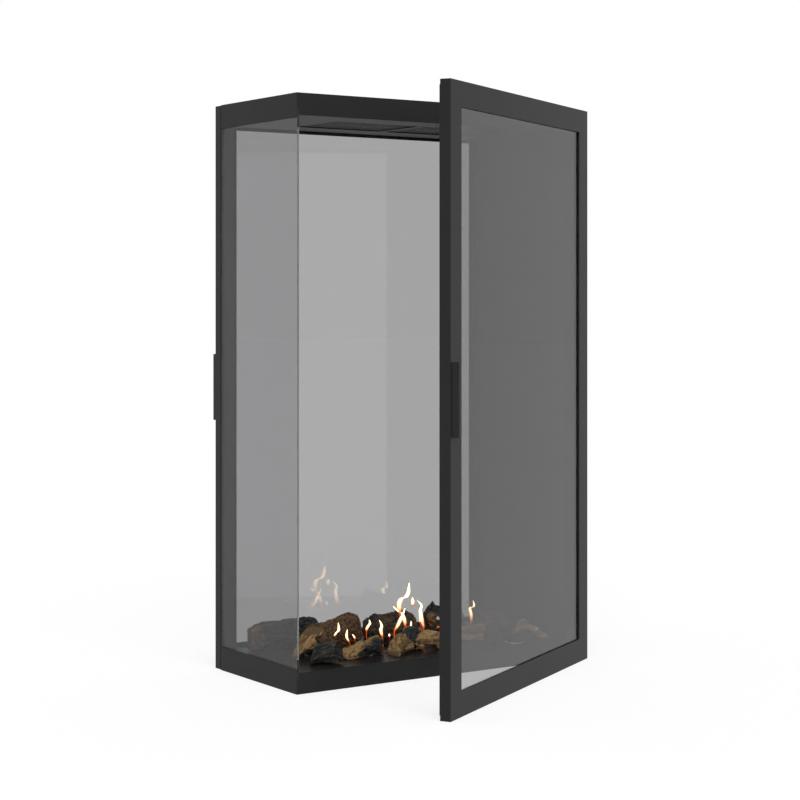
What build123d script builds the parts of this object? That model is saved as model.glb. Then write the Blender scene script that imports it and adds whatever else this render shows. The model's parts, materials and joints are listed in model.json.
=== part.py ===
"""Double-sided ethanol fireplace with two hinged glass doors and one fixed side pane.

Millimetres, +Z up. The origin is the centre of the casing's underside.
The front faces -Y, the fixed side pane is at -X and the closed wall at +X.
The front door is drawn ajar and the back door shut.
"""
import os
from collections import namedtuple
from math import cos, hypot, pi, radians, sin

from build123d import *

# Casing
casing_width = 716.0
casing_depth = 312.0
casing_height = 1200.0
hearth_lip_height = 43.0
ceiling_lip_height = 45.0
tray_sheet = 2.0
skin_sheet = 1.5
ledge_width = 15.0
side_fascia_height = 50.0
wall_thickness = 36.0
post_depth = 25.0
post_sheet = 2.0
insulation_gap = 3.0
spacer_bar_cover = 1.0

# Glass and its seals
glass_thickness = 4.0
side_tape = 0.5
setting_strip = 1.0
side_glass_overlap = 22.6
side_glass_setback = 1.0
edge_pad_height = 42.0

# Doors
door_depth = 21.8
door_gap = 2.3
door_end_clearance = 1.0
frame_face = 49.0
frame_tube = 35.0
frame_sheet = 2.0
outer_tape = 1.7
inner_tape = 0.8
bead_sheet = 1.5
glass_edge_clearance = 1.0
outer_tape_set_back = 2.0
inner_tape_set_back = 3.0
bead_set_back = 2.0
rope_width = 10.0
rope_height = 1.8
rope_free_width = 6.0
rope_free_inset = 1.0
rope_hinge_inset = 10.0
rope_end_inset = 10.0
door_open_angle = 29.7
magnet_radius = 6.0
magnet_length = 5.0

# Door pulls
pull_length = 141.0
pull_reach = 16.0
pull_thickness = 9.0
pull_inset = 3.0
pull_edge_radius = 1.0
pull_screw_margin = 20.0
pull_screw_depth = 9.5

# Hinges
hinge_height = 60.0
hinge_shares = (0.125, 0.5, 0.875)
knuckle_radius = 4.5
knuckle_stand_off = 0.3
hinge_pin_radius = 2.5
hinge_running_fit = 0.05
leaf_sheet = 2.0
leaf_width = 26.0
middle_knuckle = 20.0
knuckle_play = 0.3
leaf_root_gap = 0.7
leaf_edge_margin = 2.0
leaf_screw_step = 20.0
pin_head_height = 1.0
pin_head_set_back = 0.9
washer_thickness = 0.8
washer_set_back = 0.3

# Fasteners
screw_radius = 2.0
screw_hole_radius = 2.2
screw_head_radius = 3.6
screw_head_height = 1.4
screw_point_reach = 3.0
spacer_screw_count = 5
spacer_screw_margin = 31.0
ceiling_screw_count = 4
ceiling_screw_margin = 40.0
panel_screw_shares = (0.3125, 0.6875)
panel_tray_screw_inset = 62.0
wall_fixing_radius = 4.5
wall_fixing_shares = (0.22, 0.78)

# Ceiling grilles and the vents above them
grille_width = 209.0
grille_depth = 155.0
grille_bar = 16.0
grille_rim = 12.0
grille_sheet = 1.5
grille_slot_width = 5.0
grille_slot_pitch = 11.0
grille_end_margin = 6.0
grille_middle_bar = 6.0
grille_play = 0.5
vent_slot_width = 8.0
vent_slot_pitch = 22.0

# Burner
burner_length = 450.0
burner_width = 110.0
burner_sheet = 1.5
burner_floor_gap = 6.0
burner_rim = 22.0
lid_overlap = 10.0
lid_clearance = 0.5
flame_slot_length = 360.0
flame_slot_width = 18.0
wool_depth = 20.0
wool_play = 0.5
damper_overlap = 6.0
damper_rise = 0.7
damper_sheet = 1.5
damper_wall_gap = 2.5
damper_end_gap = 3.0
damper_end_play = 0.5
guide_sheet = 2.0
guide_front_margin = 2.0
guide_back_margin = 1.0
guide_ledge = 8.0
peg_radius = 3.0
peg_slot_play = 0.5
knob_radius = 7.0
knob_height = 6.0
knob_lift = 8.0
small_round = 1.0

# Fuel filler
filler_from_liner = 107.0
filler_from_front = 37.5
filler_hole_play = 0.5
filler_bore_radius = 13.0
filler_wall = 2.0
filler_rim_radius = 20.0
filler_rim_sheet = 1.5
cap_radius = 18.0
cap_height = 4.0
cap_fit = 0.05
grip_length = 27.0
grip_width = 4.0
grip_height = 3.0
plug_length = 10.0
pipe_radius = 5.0
pipe_wall = 1.0

# Derived planes
left = -casing_width / 2
right = casing_width / 2
front = -casing_depth / 2
back = casing_depth / 2
tray_left = left + skin_sheet + glass_thickness + side_tape
tray_right = right - skin_sheet
liner_face = right - wall_thickness
hearth_top = hearth_lip_height
hearth_under = hearth_top - tray_sheet
ceiling_under = casing_height - ceiling_lip_height
ceiling_top = ceiling_under + tray_sheet
post_left = liner_face + skin_sheet
door_outer = front - door_gap - door_depth
door_inner = front - door_gap
door_bottom = door_end_clearance
door_top = casing_height - door_end_clearance
hinge_x = right + knuckle_radius + knuckle_stand_off
hinge_y = front - door_gap / 2
lid_under = hearth_under
lid_top = hearth_top
damper_under = lid_under - damper_rise - damper_sheet
damper_depth = flame_slot_width + 2 * damper_overlap
lid_screw_step = lid_overlap / 2
rim_screw_step = (lid_overlap + lid_clearance + burner_rim) / 2
damper_travel = burner_width / 2 - burner_sheet - damper_wall_gap - damper_depth / 2
filler_x = liner_face - filler_from_liner
filler_y = front + filler_from_front
post_middle = back - post_depth / 2
door_swing = Pos(hinge_x, hinge_y, 0) * Rot(0, 0, door_open_angle) * Pos(-hinge_x, -hinge_y, 0)


# Shapes used throughout
def block(x0, x1, y0, y1, z0, z1):
    """Box between two opposite corners."""
    centre = Pos((x0 + x1) / 2, (y0 + y1) / 2, (z0 + z1) / 2)
    return centre * Box(x1 - x0, y1 - y0, z1 - z0)


def upright(x, y, z0, z1, radius):
    """Round bar standing along Z."""
    return Pos(x, y, (z0 + z1) / 2) * Cylinder(radius, z1 - z0)


def bar_along_x(x0, x1, y, z, radius):
    """Round bar lying along X."""
    return Pos((x0 + x1) / 2, y, z) * Rot(0, 90, 0) * Cylinder(radius, x1 - x0)


def bar_along_y(x, y0, y1, z, radius):
    """Round bar lying along Y."""
    return Pos(x, (y0 + y1) / 2, z) * Rot(90, 0, 0) * Cylinder(radius, y1 - y0)


def flush_head(face, inward, x, y, z):
    """Countersunk screw head whose flat lies on a face; inward is 'x', 'y' or 'z' with a sign."""
    turn = {"-x": Rot(0, -90, 0), "-y": Rot(90, 0, 0), "+z": Rot(0, 0, 0), "-z": Rot(180, 0, 0)}
    at = {"x": (face, y, z), "y": (x, face, z), "z": (x, y, face)}[inward[1]]
    cone = Cone(screw_head_radius, screw_radius, screw_head_height,
                align=(Align.CENTER, Align.CENTER, Align.MIN))
    return Pos(*at) * turn[inward] * cone


def group(solids):
    """Separate solids that share one node."""
    return Compound([solid for shape in solids for solid in shape.solids()])


def mirrored(shape):
    """The same piece on the other long side of the casing."""
    return mirror(shape, about=Plane.XZ)


def both_sides(solids):
    """Each solid and its mirror image on the back."""
    solids = list(solids)
    return solids + [mirrored(solid) for solid in solids]


def spread(low, high, count):
    """Evenly spaced places from one end to the other."""
    return [low + (high - low) * i / (count - 1) for i in range(count)]


def cut(shape, tools):
    """Shape with every tool taken out of it."""
    return shape - list(tools)


# Casing
def tray(z_open, z_closed):
    """Plates of a welded tray: the closed side, which is at z_closed, and four walls."""
    inner = z_closed + (tray_sheet if z_open > z_closed else -tray_sheet)
    low, high = sorted((z_open, inner))
    sheet = block(tray_left, tray_right, front, back, *sorted((z_closed, inner)))
    long_walls = both_sides([block(tray_left, tray_right, front, front + tray_sheet, low, high)])
    short_walls = [block(x, x + tray_sheet, front + tray_sheet, back - tray_sheet, low, high)
                   for x in (tray_left, tray_right - tray_sheet)]
    return [sheet] + long_walls + short_walls


def ledges(low, high):
    """Four flat bars welded inside the mouth of a tray, which carry the hearth or the ceiling."""
    x0, x1 = tray_left + tray_sheet, tray_right - tray_sheet
    y0, y1 = front + tray_sheet, back - tray_sheet
    long_bars = both_sides([block(x0, x1, y0, y0 + ledge_width, low, high)])
    short_bars = [block(a, b, y0 + ledge_width, y1 - ledge_width, low, high)
                  for a, b in ((x0, x0 + ledge_width), (x1 - ledge_width, x1))]
    return long_bars + short_bars


def tray_ledges():
    """The ledges of both trays, with the threaded holes of the ceiling's screws."""
    upper = ledges(ceiling_top, ceiling_top + tray_sheet)
    holes = [upright(x, y, ceiling_top, ceiling_top + tray_sheet, screw_radius)
             for x, y in ceiling_screw_points()]
    return ledges(hearth_under - tray_sheet, hearth_under) + [cut(bar, holes) for bar in upper]


def spacer_screw_points(z):
    """Places of the screws that hold a side spacer bar."""
    ends = front + spacer_screw_margin, back - spacer_screw_margin
    return [(y, z) for y in spread(*ends, spacer_screw_count)]


def spacer_screw_tip():
    """X of the points of the spacer screws, short of the bars' outer faces."""
    return left + skin_sheet + spacer_bar_cover


def spacer_screw(y, z):
    """Pan-head screw from inside a tray into a side spacer bar."""
    seat = tray_left + tray_sheet
    head = bar_along_x(seat, seat + screw_head_height, y, z, screw_head_radius)
    return head + bar_along_x(spacer_screw_tip(), seat, y, z, screw_radius)


def spacer_heights():
    """Low and high edge of the lower and the upper spacer bar."""
    reach = side_fascia_height - side_glass_overlap - setting_strip
    return [(0, reach), (casing_height - reach, casing_height)]


def side_spacers():
    """Two bars between the outer fascias and the trays; the pane stands on the lower one."""
    bars = []
    for low, high in spacer_heights():
        bar = block(left + skin_sheet, tray_left, front, back, low, high)
        middle = (low + high) / 2
        bars.append(cut(bar, [bar_along_x(spacer_screw_tip(), tray_left, y, z, screw_radius)
                              for y, z in spacer_screw_points(middle)]))
    return bars


def spacer_screws():
    """All screws of both spacer bars."""
    return [spacer_screw(y, z) for low, high in spacer_heights()
            for y, z in spacer_screw_points((low + high) / 2)]


def spacer_screw_holes():
    """Clearance holes of the spacer screws in the tray walls."""
    return [bar_along_x(tray_left, tray_left + tray_sheet, y, z, screw_hole_radius)
            for low, high in spacer_heights() for y, z in spacer_screw_points((low + high) / 2)]


def panel_screw_points():
    """Places of the screws that hold the outer panel to posts and trays."""
    posts = [(side * post_middle, casing_height * share)
             for side in (-1, 1) for share in panel_screw_shares]
    trays = [(side * (back - panel_tray_screw_inset), z) for side in (-1, 1)
             for z in (hearth_under / 2, casing_height - hearth_under / 2)]
    return posts + trays


def wall_screw(y, z, face):
    """Countersunk screw whose head is flush with an outer face of the closed wall."""
    tip = tray_right - post_sheet - screw_point_reach
    return flush_head(face, "-x", 0, y, z) + bar_along_x(tip, face, y, z, screw_radius)


def panel_screws():
    """Screws of the outer panel."""
    return [wall_screw(y, z, right) for y, z in panel_screw_points()]


def panel_screw_holes():
    """Threaded holes of the outer panel's screws in posts and trays."""
    return [bar_along_x(tray_right - post_sheet, tray_right, y, z, screw_radius)
            for y, z in panel_screw_points()]


def wall_fixing_points():
    """Places of the four holes that fasten the fireplace to a wall."""
    return [(side * post_middle, casing_height * share)
            for side in (-1, 1) for share in wall_fixing_shares]


def wall_fixing_holes():
    """Holes through the outer panel and the outer wall of each post."""
    return [bar_along_x(tray_right - post_sheet, right, y, z, wall_fixing_radius)
            for y, z in wall_fixing_points()]


def ceiling_screw_points():
    """Places of the screws that hold the ceiling up to the cover's ledges."""
    y = front + tray_sheet + ledge_width / 2
    ends = tray_left + ceiling_screw_margin, liner_face - ceiling_screw_margin
    return [(x, side * y) for side in (-1, 1) for x in spread(*ends, ceiling_screw_count)]


def ceiling_screws():
    """Countersunk screws flush with the ceiling's underside."""
    return [flush_head(ceiling_under, "+z", x, y, 0)
            + upright(x, y, ceiling_under, ceiling_top + tray_sheet + screw_point_reach, screw_radius)
            for x, y in ceiling_screw_points()]


def base_tray():
    """Lower tray with its screw holes."""
    holes = spacer_screw_holes() + panel_screw_holes()
    return group([cut(plate, holes) for plate in tray(hearth_under, 0)])


def top_cover():
    """Upper tray with vent slots over each ceiling grille."""
    holes = spacer_screw_holes() + panel_screw_holes()
    slots = [block(x - vent_slot_width / 2, x + vent_slot_width / 2, -grille_depth / 2,
                   grille_depth / 2, casing_height - tray_sheet, casing_height)
             for middle in grille_middles() for x in row(middle, grille_width, vent_slot_pitch)]
    return group([cut(plate, holes + slots) for plate in tray(ceiling_top, casing_height)])


def hearth_plate():
    """Floor of the fire chamber with the burner and filler cut-outs."""
    plate = block(tray_left, tray_right, front, back, hearth_under, hearth_top)
    half_l = burner_length / 2 + lid_overlap + lid_clearance
    half_w = burner_width / 2 + lid_overlap + lid_clearance
    plate -= block(-half_l, half_l, -half_w, half_w, hearth_under, hearth_top)
    plate -= upright(filler_x, filler_y, hearth_under, hearth_top,
                     filler_bore_radius + filler_wall + filler_hole_play)
    return cut(plate, burner_screws(rim_screw_step))


def ceiling_panel():
    """Ceiling sheet with an opening for each grille."""
    panel = block(tray_left, tray_right, front, back, ceiling_under, ceiling_top)
    for middle in grille_middles():
        panel -= block(middle - grille_width / 2, middle + grille_width / 2, -grille_depth / 2,
                       grille_depth / 2, ceiling_under, ceiling_top)
    for x, y in ceiling_screw_points():
        panel -= upright(x, y, ceiling_under, ceiling_top, screw_hole_radius)
        panel -= flush_head(ceiling_under, "+z", x, y, 0)
    return panel


def grille_middles():
    """X of the middle of each ceiling grille."""
    return [side * (grille_width + grille_bar) / 2 for side in (-1, 1)]


def row(middle, width, pitch):
    """Evenly spaced positions across a width."""
    count = int((width - pitch / 2) / pitch)
    return [middle + (i - (count - 1) / 2) * pitch for i in range(count)]


def ceiling_grille(middle):
    """Slotted sheet lying on the edge of its ceiling opening."""
    half = grille_width / 2 + grille_bar / 2 - grille_play
    sheet = block(middle - half, middle + half, -grille_depth / 2 - grille_rim,
                  grille_depth / 2 + grille_rim, ceiling_top, ceiling_top + grille_sheet)
    slots = []
    for x in row(middle, grille_width, grille_slot_pitch):
        slot = block(x - grille_slot_width / 2, x + grille_slot_width / 2, grille_middle_bar / 2,
                     grille_depth / 2 - grille_end_margin, ceiling_top, ceiling_top + grille_sheet)
        slots.extend(both_sides([slot]))
    return cut(sheet, slots)


def side_fascia(low):
    """Thin outer strip that hides the edge of the side pane."""
    return block(left, left + skin_sheet, front, back, low, low + side_fascia_height)


def side_pane():
    """Fixed pane of the left side."""
    low = side_fascia_height - side_glass_overlap
    return block(left + skin_sheet, left + skin_sheet + glass_thickness,
                 front + side_glass_setback, back - side_glass_setback, low, casing_height - low)


def side_pane_seals():
    """Setting strip under the pane and flat tapes between the pane and the trays."""
    low = side_fascia_height - side_glass_overlap
    inner = left + skin_sheet + glass_thickness
    y0, y1 = front + side_glass_setback, back - side_glass_setback
    strip = block(left + skin_sheet, inner, y0, y1, low - setting_strip, low)
    lower = block(inner, tray_left, y0, y1, low, hearth_top)
    upper = block(inner, tray_left, y0, y1, ceiling_under, casing_height - low)
    return [strip, lower, upper]


def side_pane_pads():
    """Edge pads on the corners of the pane, which the shut doors meet."""
    low = side_fascia_height - side_glass_overlap
    pads = []
    for z0 in (low, casing_height - low - edge_pad_height):
        pads.append(block(left + skin_sheet, left + skin_sheet + glass_thickness, front,
                          front + side_glass_setback, z0, z0 + edge_pad_height))
    return both_sides(pads)


# Closed right wall
def wall_post():
    """Front post of the closed wall, a rectangular tube."""
    tube = block(post_left, tray_right, front, front + post_depth, hearth_top, ceiling_under)
    return tube - block(post_left + post_sheet, tray_right - post_sheet, front + post_sheet,
                        front + post_depth - post_sheet, hearth_top, ceiling_under)


def wall_posts():
    """Both posts with their threaded and fixing holes."""
    holes = panel_screw_holes() + wall_fixing_holes() + casing_leaf_screw_holes()
    return [cut(post, holes) for post in both_sides([wall_post()])]


def wall_liner():
    """Inner sheet of the closed wall."""
    return block(liner_face, post_left, front, back, hearth_top, ceiling_under)


def wall_insulation():
    """Fibre board between the liner and the outer panel."""
    return block(post_left, tray_right - insulation_gap, front + post_depth, back - post_depth,
                 hearth_top, ceiling_under)


def outer_panel():
    """Outer sheet of the closed wall, which carries the hinges and the wall fixings."""
    panel = block(tray_right, right, front, back, 0, casing_height)
    for y, z in panel_screw_points():
        panel -= flush_head(right, "-x", 0, y, z)
        panel -= bar_along_x(tray_right, right, y, z, screw_radius)
    for y, z in casing_leaf_screw_points():
        panel -= bar_along_x(tray_right, right, y, z, screw_hole_radius)
    return cut(panel, wall_fixing_holes())


# Hinges, drawn for the front door in its shut place
def hinge_heights():
    """Height of the middle of each hinge."""
    return [casing_height * share for share in hinge_shares]


def leaf_screw_heights():
    """Heights of the two screws of each hinge leaf."""
    return [z + step for z in hinge_heights() for step in (-leaf_screw_step, leaf_screw_step)]


def casing_leaf_screw_points():
    """Places of the screws that hold the casing leaves, front and back."""
    return [(side * post_middle, z) for side in (1, -1) for z in leaf_screw_heights()]


def casing_leaf_screw_holes():
    """Threaded holes of the casing leaves' screws in the posts."""
    return [bar_along_x(tray_right - post_sheet, tray_right, y, z, screw_radius)
            for y, z in casing_leaf_screw_points()]


def casing_leaf(z):
    """Fixed hinge leaf with its outer knuckles."""
    half, inner = hinge_height / 2, middle_knuckle / 2 + knuckle_play
    root = hinge_y + knuckle_radius + leaf_root_gap
    leaf = block(right, right + leaf_sheet, root, hinge_y + leaf_width, z - half, z + half)
    for low, high in ((z - half, z - inner), (z + inner, z + half)):
        leaf += block(right, right + leaf_sheet, hinge_y, root, low, high)
        leaf += upright(hinge_x, hinge_y, low, high, knuckle_radius)
    leaf -= upright(hinge_x, hinge_y, z - half, z + half, hinge_pin_radius)
    for step in (-leaf_screw_step, leaf_screw_step):
        leaf -= flush_head(right + leaf_sheet, "-x", 0, -post_middle, z + step)
        leaf -= bar_along_x(right, right + leaf_sheet, -post_middle, z + step, screw_radius)
    return leaf


def door_leaf(z):
    """Moving hinge leaf with its middle knuckle."""
    half, inner = hinge_height / 2, middle_knuckle / 2
    root = hinge_y - knuckle_radius - leaf_root_gap
    edge = door_outer + leaf_edge_margin
    low = z - inner + washer_thickness - knuckle_play
    leaf = block(right, right + leaf_sheet, edge, root, z - half, z + half)
    leaf += block(right, right + leaf_sheet, root, hinge_y, low, z + inner)
    leaf += upright(hinge_x, hinge_y, low, z + inner, knuckle_radius)
    leaf -= upright(hinge_x, hinge_y, low, z + inner, hinge_pin_radius + hinge_running_fit)
    for step in (-leaf_screw_step, leaf_screw_step):
        leaf -= flush_head(right + leaf_sheet, "-x", 0, door_leaf_screw_y(), z + step)
        leaf -= bar_along_x(right, right + leaf_sheet, door_leaf_screw_y(), z + step, screw_radius)
    return leaf


def door_leaf_screw_y():
    """Y of the door leaves' screws, in the middle of the stile."""
    return (door_outer + door_inner) / 2


def hinge_pin(z):
    """Hinge pin with a low head."""
    low, high = z - hinge_height / 2, z + hinge_height / 2
    pin = upright(hinge_x, hinge_y, low, high + pin_head_height, hinge_pin_radius)
    return pin + upright(hinge_x, hinge_y, high, high + pin_head_height,
                         knuckle_radius - pin_head_set_back)


def hinge_washer(z):
    """Washer that carries the door's knuckle."""
    low = z - middle_knuckle / 2 - knuckle_play
    high = low + washer_thickness
    disc = upright(hinge_x, hinge_y, low, high, knuckle_radius - washer_set_back)
    return disc - upright(hinge_x, hinge_y, low, high, hinge_pin_radius)


def casing_leaf_screws():
    """Countersunk screws of the casing leaves."""
    return [wall_screw(y, z, right + leaf_sheet) for y, z in casing_leaf_screw_points()]


def door_leaf_screws():
    """Countersunk screws of the door leaves."""
    face = right + leaf_sheet
    y = door_leaf_screw_y()
    return [flush_head(face, "-x", 0, y, z)
            + bar_along_x(right - frame_sheet - screw_point_reach, face, y, z, screw_radius)
            for z in leaf_screw_heights()]


# Doors, drawn as the front door in its shut place
def ring(inset_out, inset_in, depth_a, depth_b):
    """Rectangular ring between two insets from the door's edge and two depths from its face."""
    y0, y1 = door_outer + depth_a, door_outer + depth_b
    outer = block(left + inset_out, right - inset_out, y0, y1,
                  door_bottom + inset_out, door_top - inset_out)
    return outer - block(left + inset_in, right - inset_in, y0, y1,
                         door_bottom + inset_in, door_top - inset_in)


def mitre(side):
    """Prism that keeps one mitred member of a door frame."""
    m = frame_face
    corners = {
        "hinge": [(right, door_bottom), (right, door_top), (right - m, door_top - m),
                  (right - m, door_bottom + m)],
        "free": [(left, door_bottom), (left, door_top), (left + m, door_top - m),
                 (left + m, door_bottom + m)],
        "top": [(left, door_top), (right, door_top), (right - m, door_top - m),
                (left + m, door_top - m)],
        "bottom": [(left, door_bottom), (right, door_bottom), (right - m, door_bottom + m),
                   (left + m, door_bottom + m)],
    }[side]
    outline = Face(Wire.make_polygon([(x, door_outer, z) for x, z in corners]))
    return extrude(outline, amount=door_depth, dir=(0, 1, 0))


def frame_member(side):
    """One mitred tube of the door frame with its thin glazing lip."""
    tube = ring(0, frame_tube, 0, door_depth)
    tube -= ring(frame_sheet, frame_tube - frame_sheet, frame_sheet, door_depth - frame_sheet)
    tube += ring(frame_tube - frame_sheet, frame_face, 0, frame_sheet)
    return tube & mitre(side)


def pull_screw_heights():
    """Heights of the two screws of a door pull."""
    step = pull_length / 2 - pull_screw_margin
    return [(door_bottom + door_top) / 2 + side * step for side in (-1, 1)]


def pull_x():
    """X of the middle of a door pull."""
    return left + pull_inset + pull_thickness / 2


def pull_screws():
    """Countersunk screws that hold the pull from the inner face of the stile."""
    return [flush_head(door_inner, "-y", pull_x(), 0, z)
            + bar_along_y(pull_x(), door_outer - pull_screw_depth, door_inner, z, screw_radius)
            for z in pull_screw_heights()]


def free_stile():
    """Stile at the pull side."""
    stile = frame_member("free")
    for z in pull_screw_heights():
        stile -= bar_along_y(pull_x(), door_outer, door_inner, z, screw_hole_radius)
        stile -= flush_head(door_inner, "-y", pull_x(), 0, z)
    return stile


def hinge_stile():
    """Stile at the hinge side."""
    return cut(frame_member("hinge"),
               [bar_along_x(right - frame_sheet, right, door_leaf_screw_y(), z, screw_radius)
                for z in leaf_screw_heights()])


def magnet_places():
    """Centres of the two closing magnets in the rails."""
    x = left + frame_face + 2 * magnet_radius
    return [(x, door_bottom + frame_tube / 2), (x, door_top - frame_tube / 2)]


def magnets():
    """Closing magnets, flush with the inner face of the rails."""
    return [bar_along_y(x, door_inner - magnet_length, door_inner, z, magnet_radius)
            for x, z in magnet_places()]


def rails():
    """Top and bottom rail."""
    return [cut(frame_member(side), magnets()) for side in ("top", "bottom")]


def door_pane():
    """Glass of a door."""
    inset = frame_tube + glass_edge_clearance
    y0 = door_outer + frame_sheet + outer_tape
    return block(left + inset, right - inset, y0, y0 + glass_thickness,
                 door_bottom + inset, door_top - inset)


def pane_tapes():
    """Flat sealing tape in front of and behind the door glass."""
    inset = frame_tube + glass_edge_clearance
    front_face = frame_sheet + outer_tape
    back_face = front_face + glass_thickness
    return [ring(inset, frame_face - outer_tape_set_back, frame_sheet, front_face),
            ring(inset, frame_face - inner_tape_set_back, back_face, back_face + inner_tape)]


def glazing_beads():
    """Four mitred angle beads that press the glass against its lip."""
    start = frame_sheet + outer_tape + glass_thickness + inner_tape
    bead = ring(frame_tube, frame_face - bead_set_back, start, start + bead_sheet)
    bead += ring(frame_tube, frame_tube + bead_sheet, start + bead_sheet, door_depth - frame_sheet)
    return [bead & mitre(side) for side in ("hinge", "free", "top", "bottom")]


def rope_seal():
    """Flat rope seal on the inner face of the door frame."""
    y0, y1 = door_inner, door_inner + rope_height
    x0, x1 = left + rope_free_inset, right - rope_hinge_inset
    z0, z1 = door_bottom + rope_end_inset, door_top - rope_end_inset
    return block(x0, x1, y0, y1, z0, z1) - block(x0 + rope_free_width, x1 - rope_width, y0, y1,
                                                 z0 + rope_width, z1 - rope_width)


def door_pull():
    """Flat bar pull along the free edge."""
    middle = (door_bottom + door_top) / 2
    bar = block(left + pull_inset, left + pull_inset + pull_thickness, door_outer - pull_reach,
                door_outer, middle - pull_length / 2, middle + pull_length / 2)
    outer_edges = bar.edges().filter_by(Axis.Z).sort_by(Axis.Y)[:2]
    bar = fillet(outer_edges, pull_edge_radius)
    return cut(bar, [bar_along_y(pull_x(), door_outer - pull_screw_depth, door_outer, z, screw_radius)
                     for z in pull_screw_heights()])


def door_pieces():
    """Every piece of one door, by the name it has after 'front_door' or 'back_door'."""
    return {
        "hinge_stile": hinge_stile(),
        "free_stile": free_stile(),
        "rails": group(rails()),
        "glass": door_pane(),
        "seals": group(pane_tapes() + [rope_seal()]),
        "glazing_beads": group(glazing_beads()),
        "pull": door_pull(),
        "screws": group(pull_screws() + door_leaf_screws()),
        "magnets": group(magnets()),
        "hinge_leaves": group(door_leaf(z) for z in hinge_heights()),
    }


# Burner
def burner_screw_points(step):
    """Places of six screws a step outside the tank's walls."""
    x, y = burner_length / 2 + step, burner_width / 2 + step
    return [(sx * x, sy * y) for sx in (-1, 0, 1) for sy in (-1, 1)]


def burner_screws(step):
    """Countersunk screws flush with the hearth, a step outside the tank's walls."""
    return [flush_head(hearth_top, "-z", x, y, 0)
            + upright(x, y, hearth_under - burner_sheet - screw_point_reach, hearth_top, screw_radius)
            for x, y in burner_screw_points(step)]


def burner_tank():
    """Fuel tank whose rim is screwed up against the hearth plate and carries the lid."""
    half_l, half_w = burner_length / 2, burner_width / 2
    tank = block(-half_l, half_l, -half_w, half_w, burner_floor_gap, lid_under)
    tank += block(-half_l - burner_rim, half_l + burner_rim, -half_w - burner_rim,
                  half_w + burner_rim, lid_under - burner_sheet, lid_under)
    tank -= block(-half_l + burner_sheet, half_l - burner_sheet, -half_w + burner_sheet,
                  half_w - burner_sheet, burner_floor_gap + burner_sheet, lid_under)
    tank -= bar_along_y(filler_x, -half_w, -half_w + burner_sheet, pipe_height(), pipe_radius)
    return cut(tank, burner_screws(lid_screw_step) + burner_screws(rim_screw_step))


def burner_wool():
    """Fibre block that soaks up the fuel."""
    inset = burner_sheet + wool_play
    floor = burner_floor_gap + burner_sheet
    return block(-burner_length / 2 + inset, burner_length / 2 - inset, -burner_width / 2 + inset,
                 burner_width / 2 - inset, floor, floor + wool_depth)


def peg_x():
    """X of the damper's peg, between the flame slot and the tank's end."""
    return (flame_slot_length / 2 + burner_length / 2) / 2 - guide_ledge / 2


def damper_rest_y():
    """Y of the middle of the open damper."""
    return damper_travel


def burner_lid():
    """Lid with the flame slot and the short slot for the damper's peg."""
    half_l, half_w = burner_length / 2 + lid_overlap, burner_width / 2 + lid_overlap
    lid = block(-half_l, half_l, -half_w, half_w, lid_under, lid_top)
    lid -= block(-flame_slot_length / 2, flame_slot_length / 2, -flame_slot_width / 2,
                 flame_slot_width / 2, lid_under, lid_top)
    play = peg_radius + peg_slot_play
    lid -= block(peg_x() - play, peg_x() + play, 0, damper_rest_y(), lid_under, lid_top)
    lid -= upright(peg_x(), 0, lid_under, lid_top, play)
    lid -= upright(peg_x(), damper_rest_y(), lid_under, lid_top, play)
    return cut(lid, burner_screws(lid_screw_step))


def damper_half():
    """Half the damper's length, short of the tank's end walls."""
    return burner_length / 2 - burner_sheet - guide_sheet - damper_end_gap


def damper_guides():
    """Angles under the lid that carry the damper's ends."""
    y0 = -damper_depth / 2 - guide_front_margin
    y1 = damper_rest_y() + damper_depth / 2 + guide_back_margin
    wall_in = damper_half() + damper_end_play
    wall_out = wall_in + guide_sheet
    guides = []
    for side in (-1, 1):
        a, b = sorted((side * wall_in, side * wall_out))
        wall = block(a, b, y0, y1, damper_under - guide_sheet, lid_under)
        a, b = sorted((side * (wall_in - guide_ledge), side * wall_out))
        guides.append(wall + block(a, b, y0, y1, damper_under - guide_sheet, damper_under))
    return guides


def flame_damper():
    """Sliding plate that covers the flame slot; drawn open."""
    y = damper_rest_y()
    return block(-damper_half(), damper_half(), y - damper_depth / 2, y + damper_depth / 2,
                 damper_under, damper_under + damper_sheet)


def damper_knob():
    """Peg and knob that move the damper."""
    y = damper_rest_y()
    neck_top = lid_top + knob_lift
    peg = upright(peg_x(), y, damper_under + damper_sheet, neck_top, peg_radius)
    knob = upright(peg_x(), y, neck_top, neck_top + knob_height, knob_radius)
    return peg + fillet(knob.edges().filter_by(GeomType.CIRCLE), small_round)


def pipe_height():
    """Height of the fuel pipe's axis."""
    return burner_floor_gap + burner_sheet + wool_depth / 2


def filler_neck():
    """Cup with a rim on the hearth plate and a welded pipe to the tank."""
    outer = filler_bore_radius + filler_wall
    low = burner_floor_gap
    end = -burner_width / 2 + burner_sheet
    neck = upright(filler_x, filler_y, low, hearth_top, outer)
    neck += upright(filler_x, filler_y, hearth_top, hearth_top + filler_rim_sheet, filler_rim_radius)
    neck += bar_along_y(filler_x, filler_y, end, pipe_height(), pipe_radius)
    neck -= upright(filler_x, filler_y, low + filler_wall, hearth_top + filler_rim_sheet,
                    filler_bore_radius)
    return neck - bar_along_y(filler_x, filler_y, end, pipe_height(), pipe_radius - pipe_wall)


def filler_cap():
    """Round cap with a grip bar and a plug."""
    base = hearth_top + filler_rim_sheet
    plug = upright(filler_x, filler_y, base - plug_length, base, filler_bore_radius - cap_fit)
    disc = upright(filler_x, filler_y, base, base + cap_height, cap_radius)
    disc = fillet(disc.edges().filter_by(GeomType.CIRCLE).sort_by(Axis.Z)[-1:], small_round)
    grip = block(filler_x - grip_length / 2, filler_x + grip_length / 2, filler_y - grip_width / 2,
                 filler_y + grip_width / 2, base + cap_height, base + cap_height + grip_height)
    return plug + disc + grip


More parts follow.
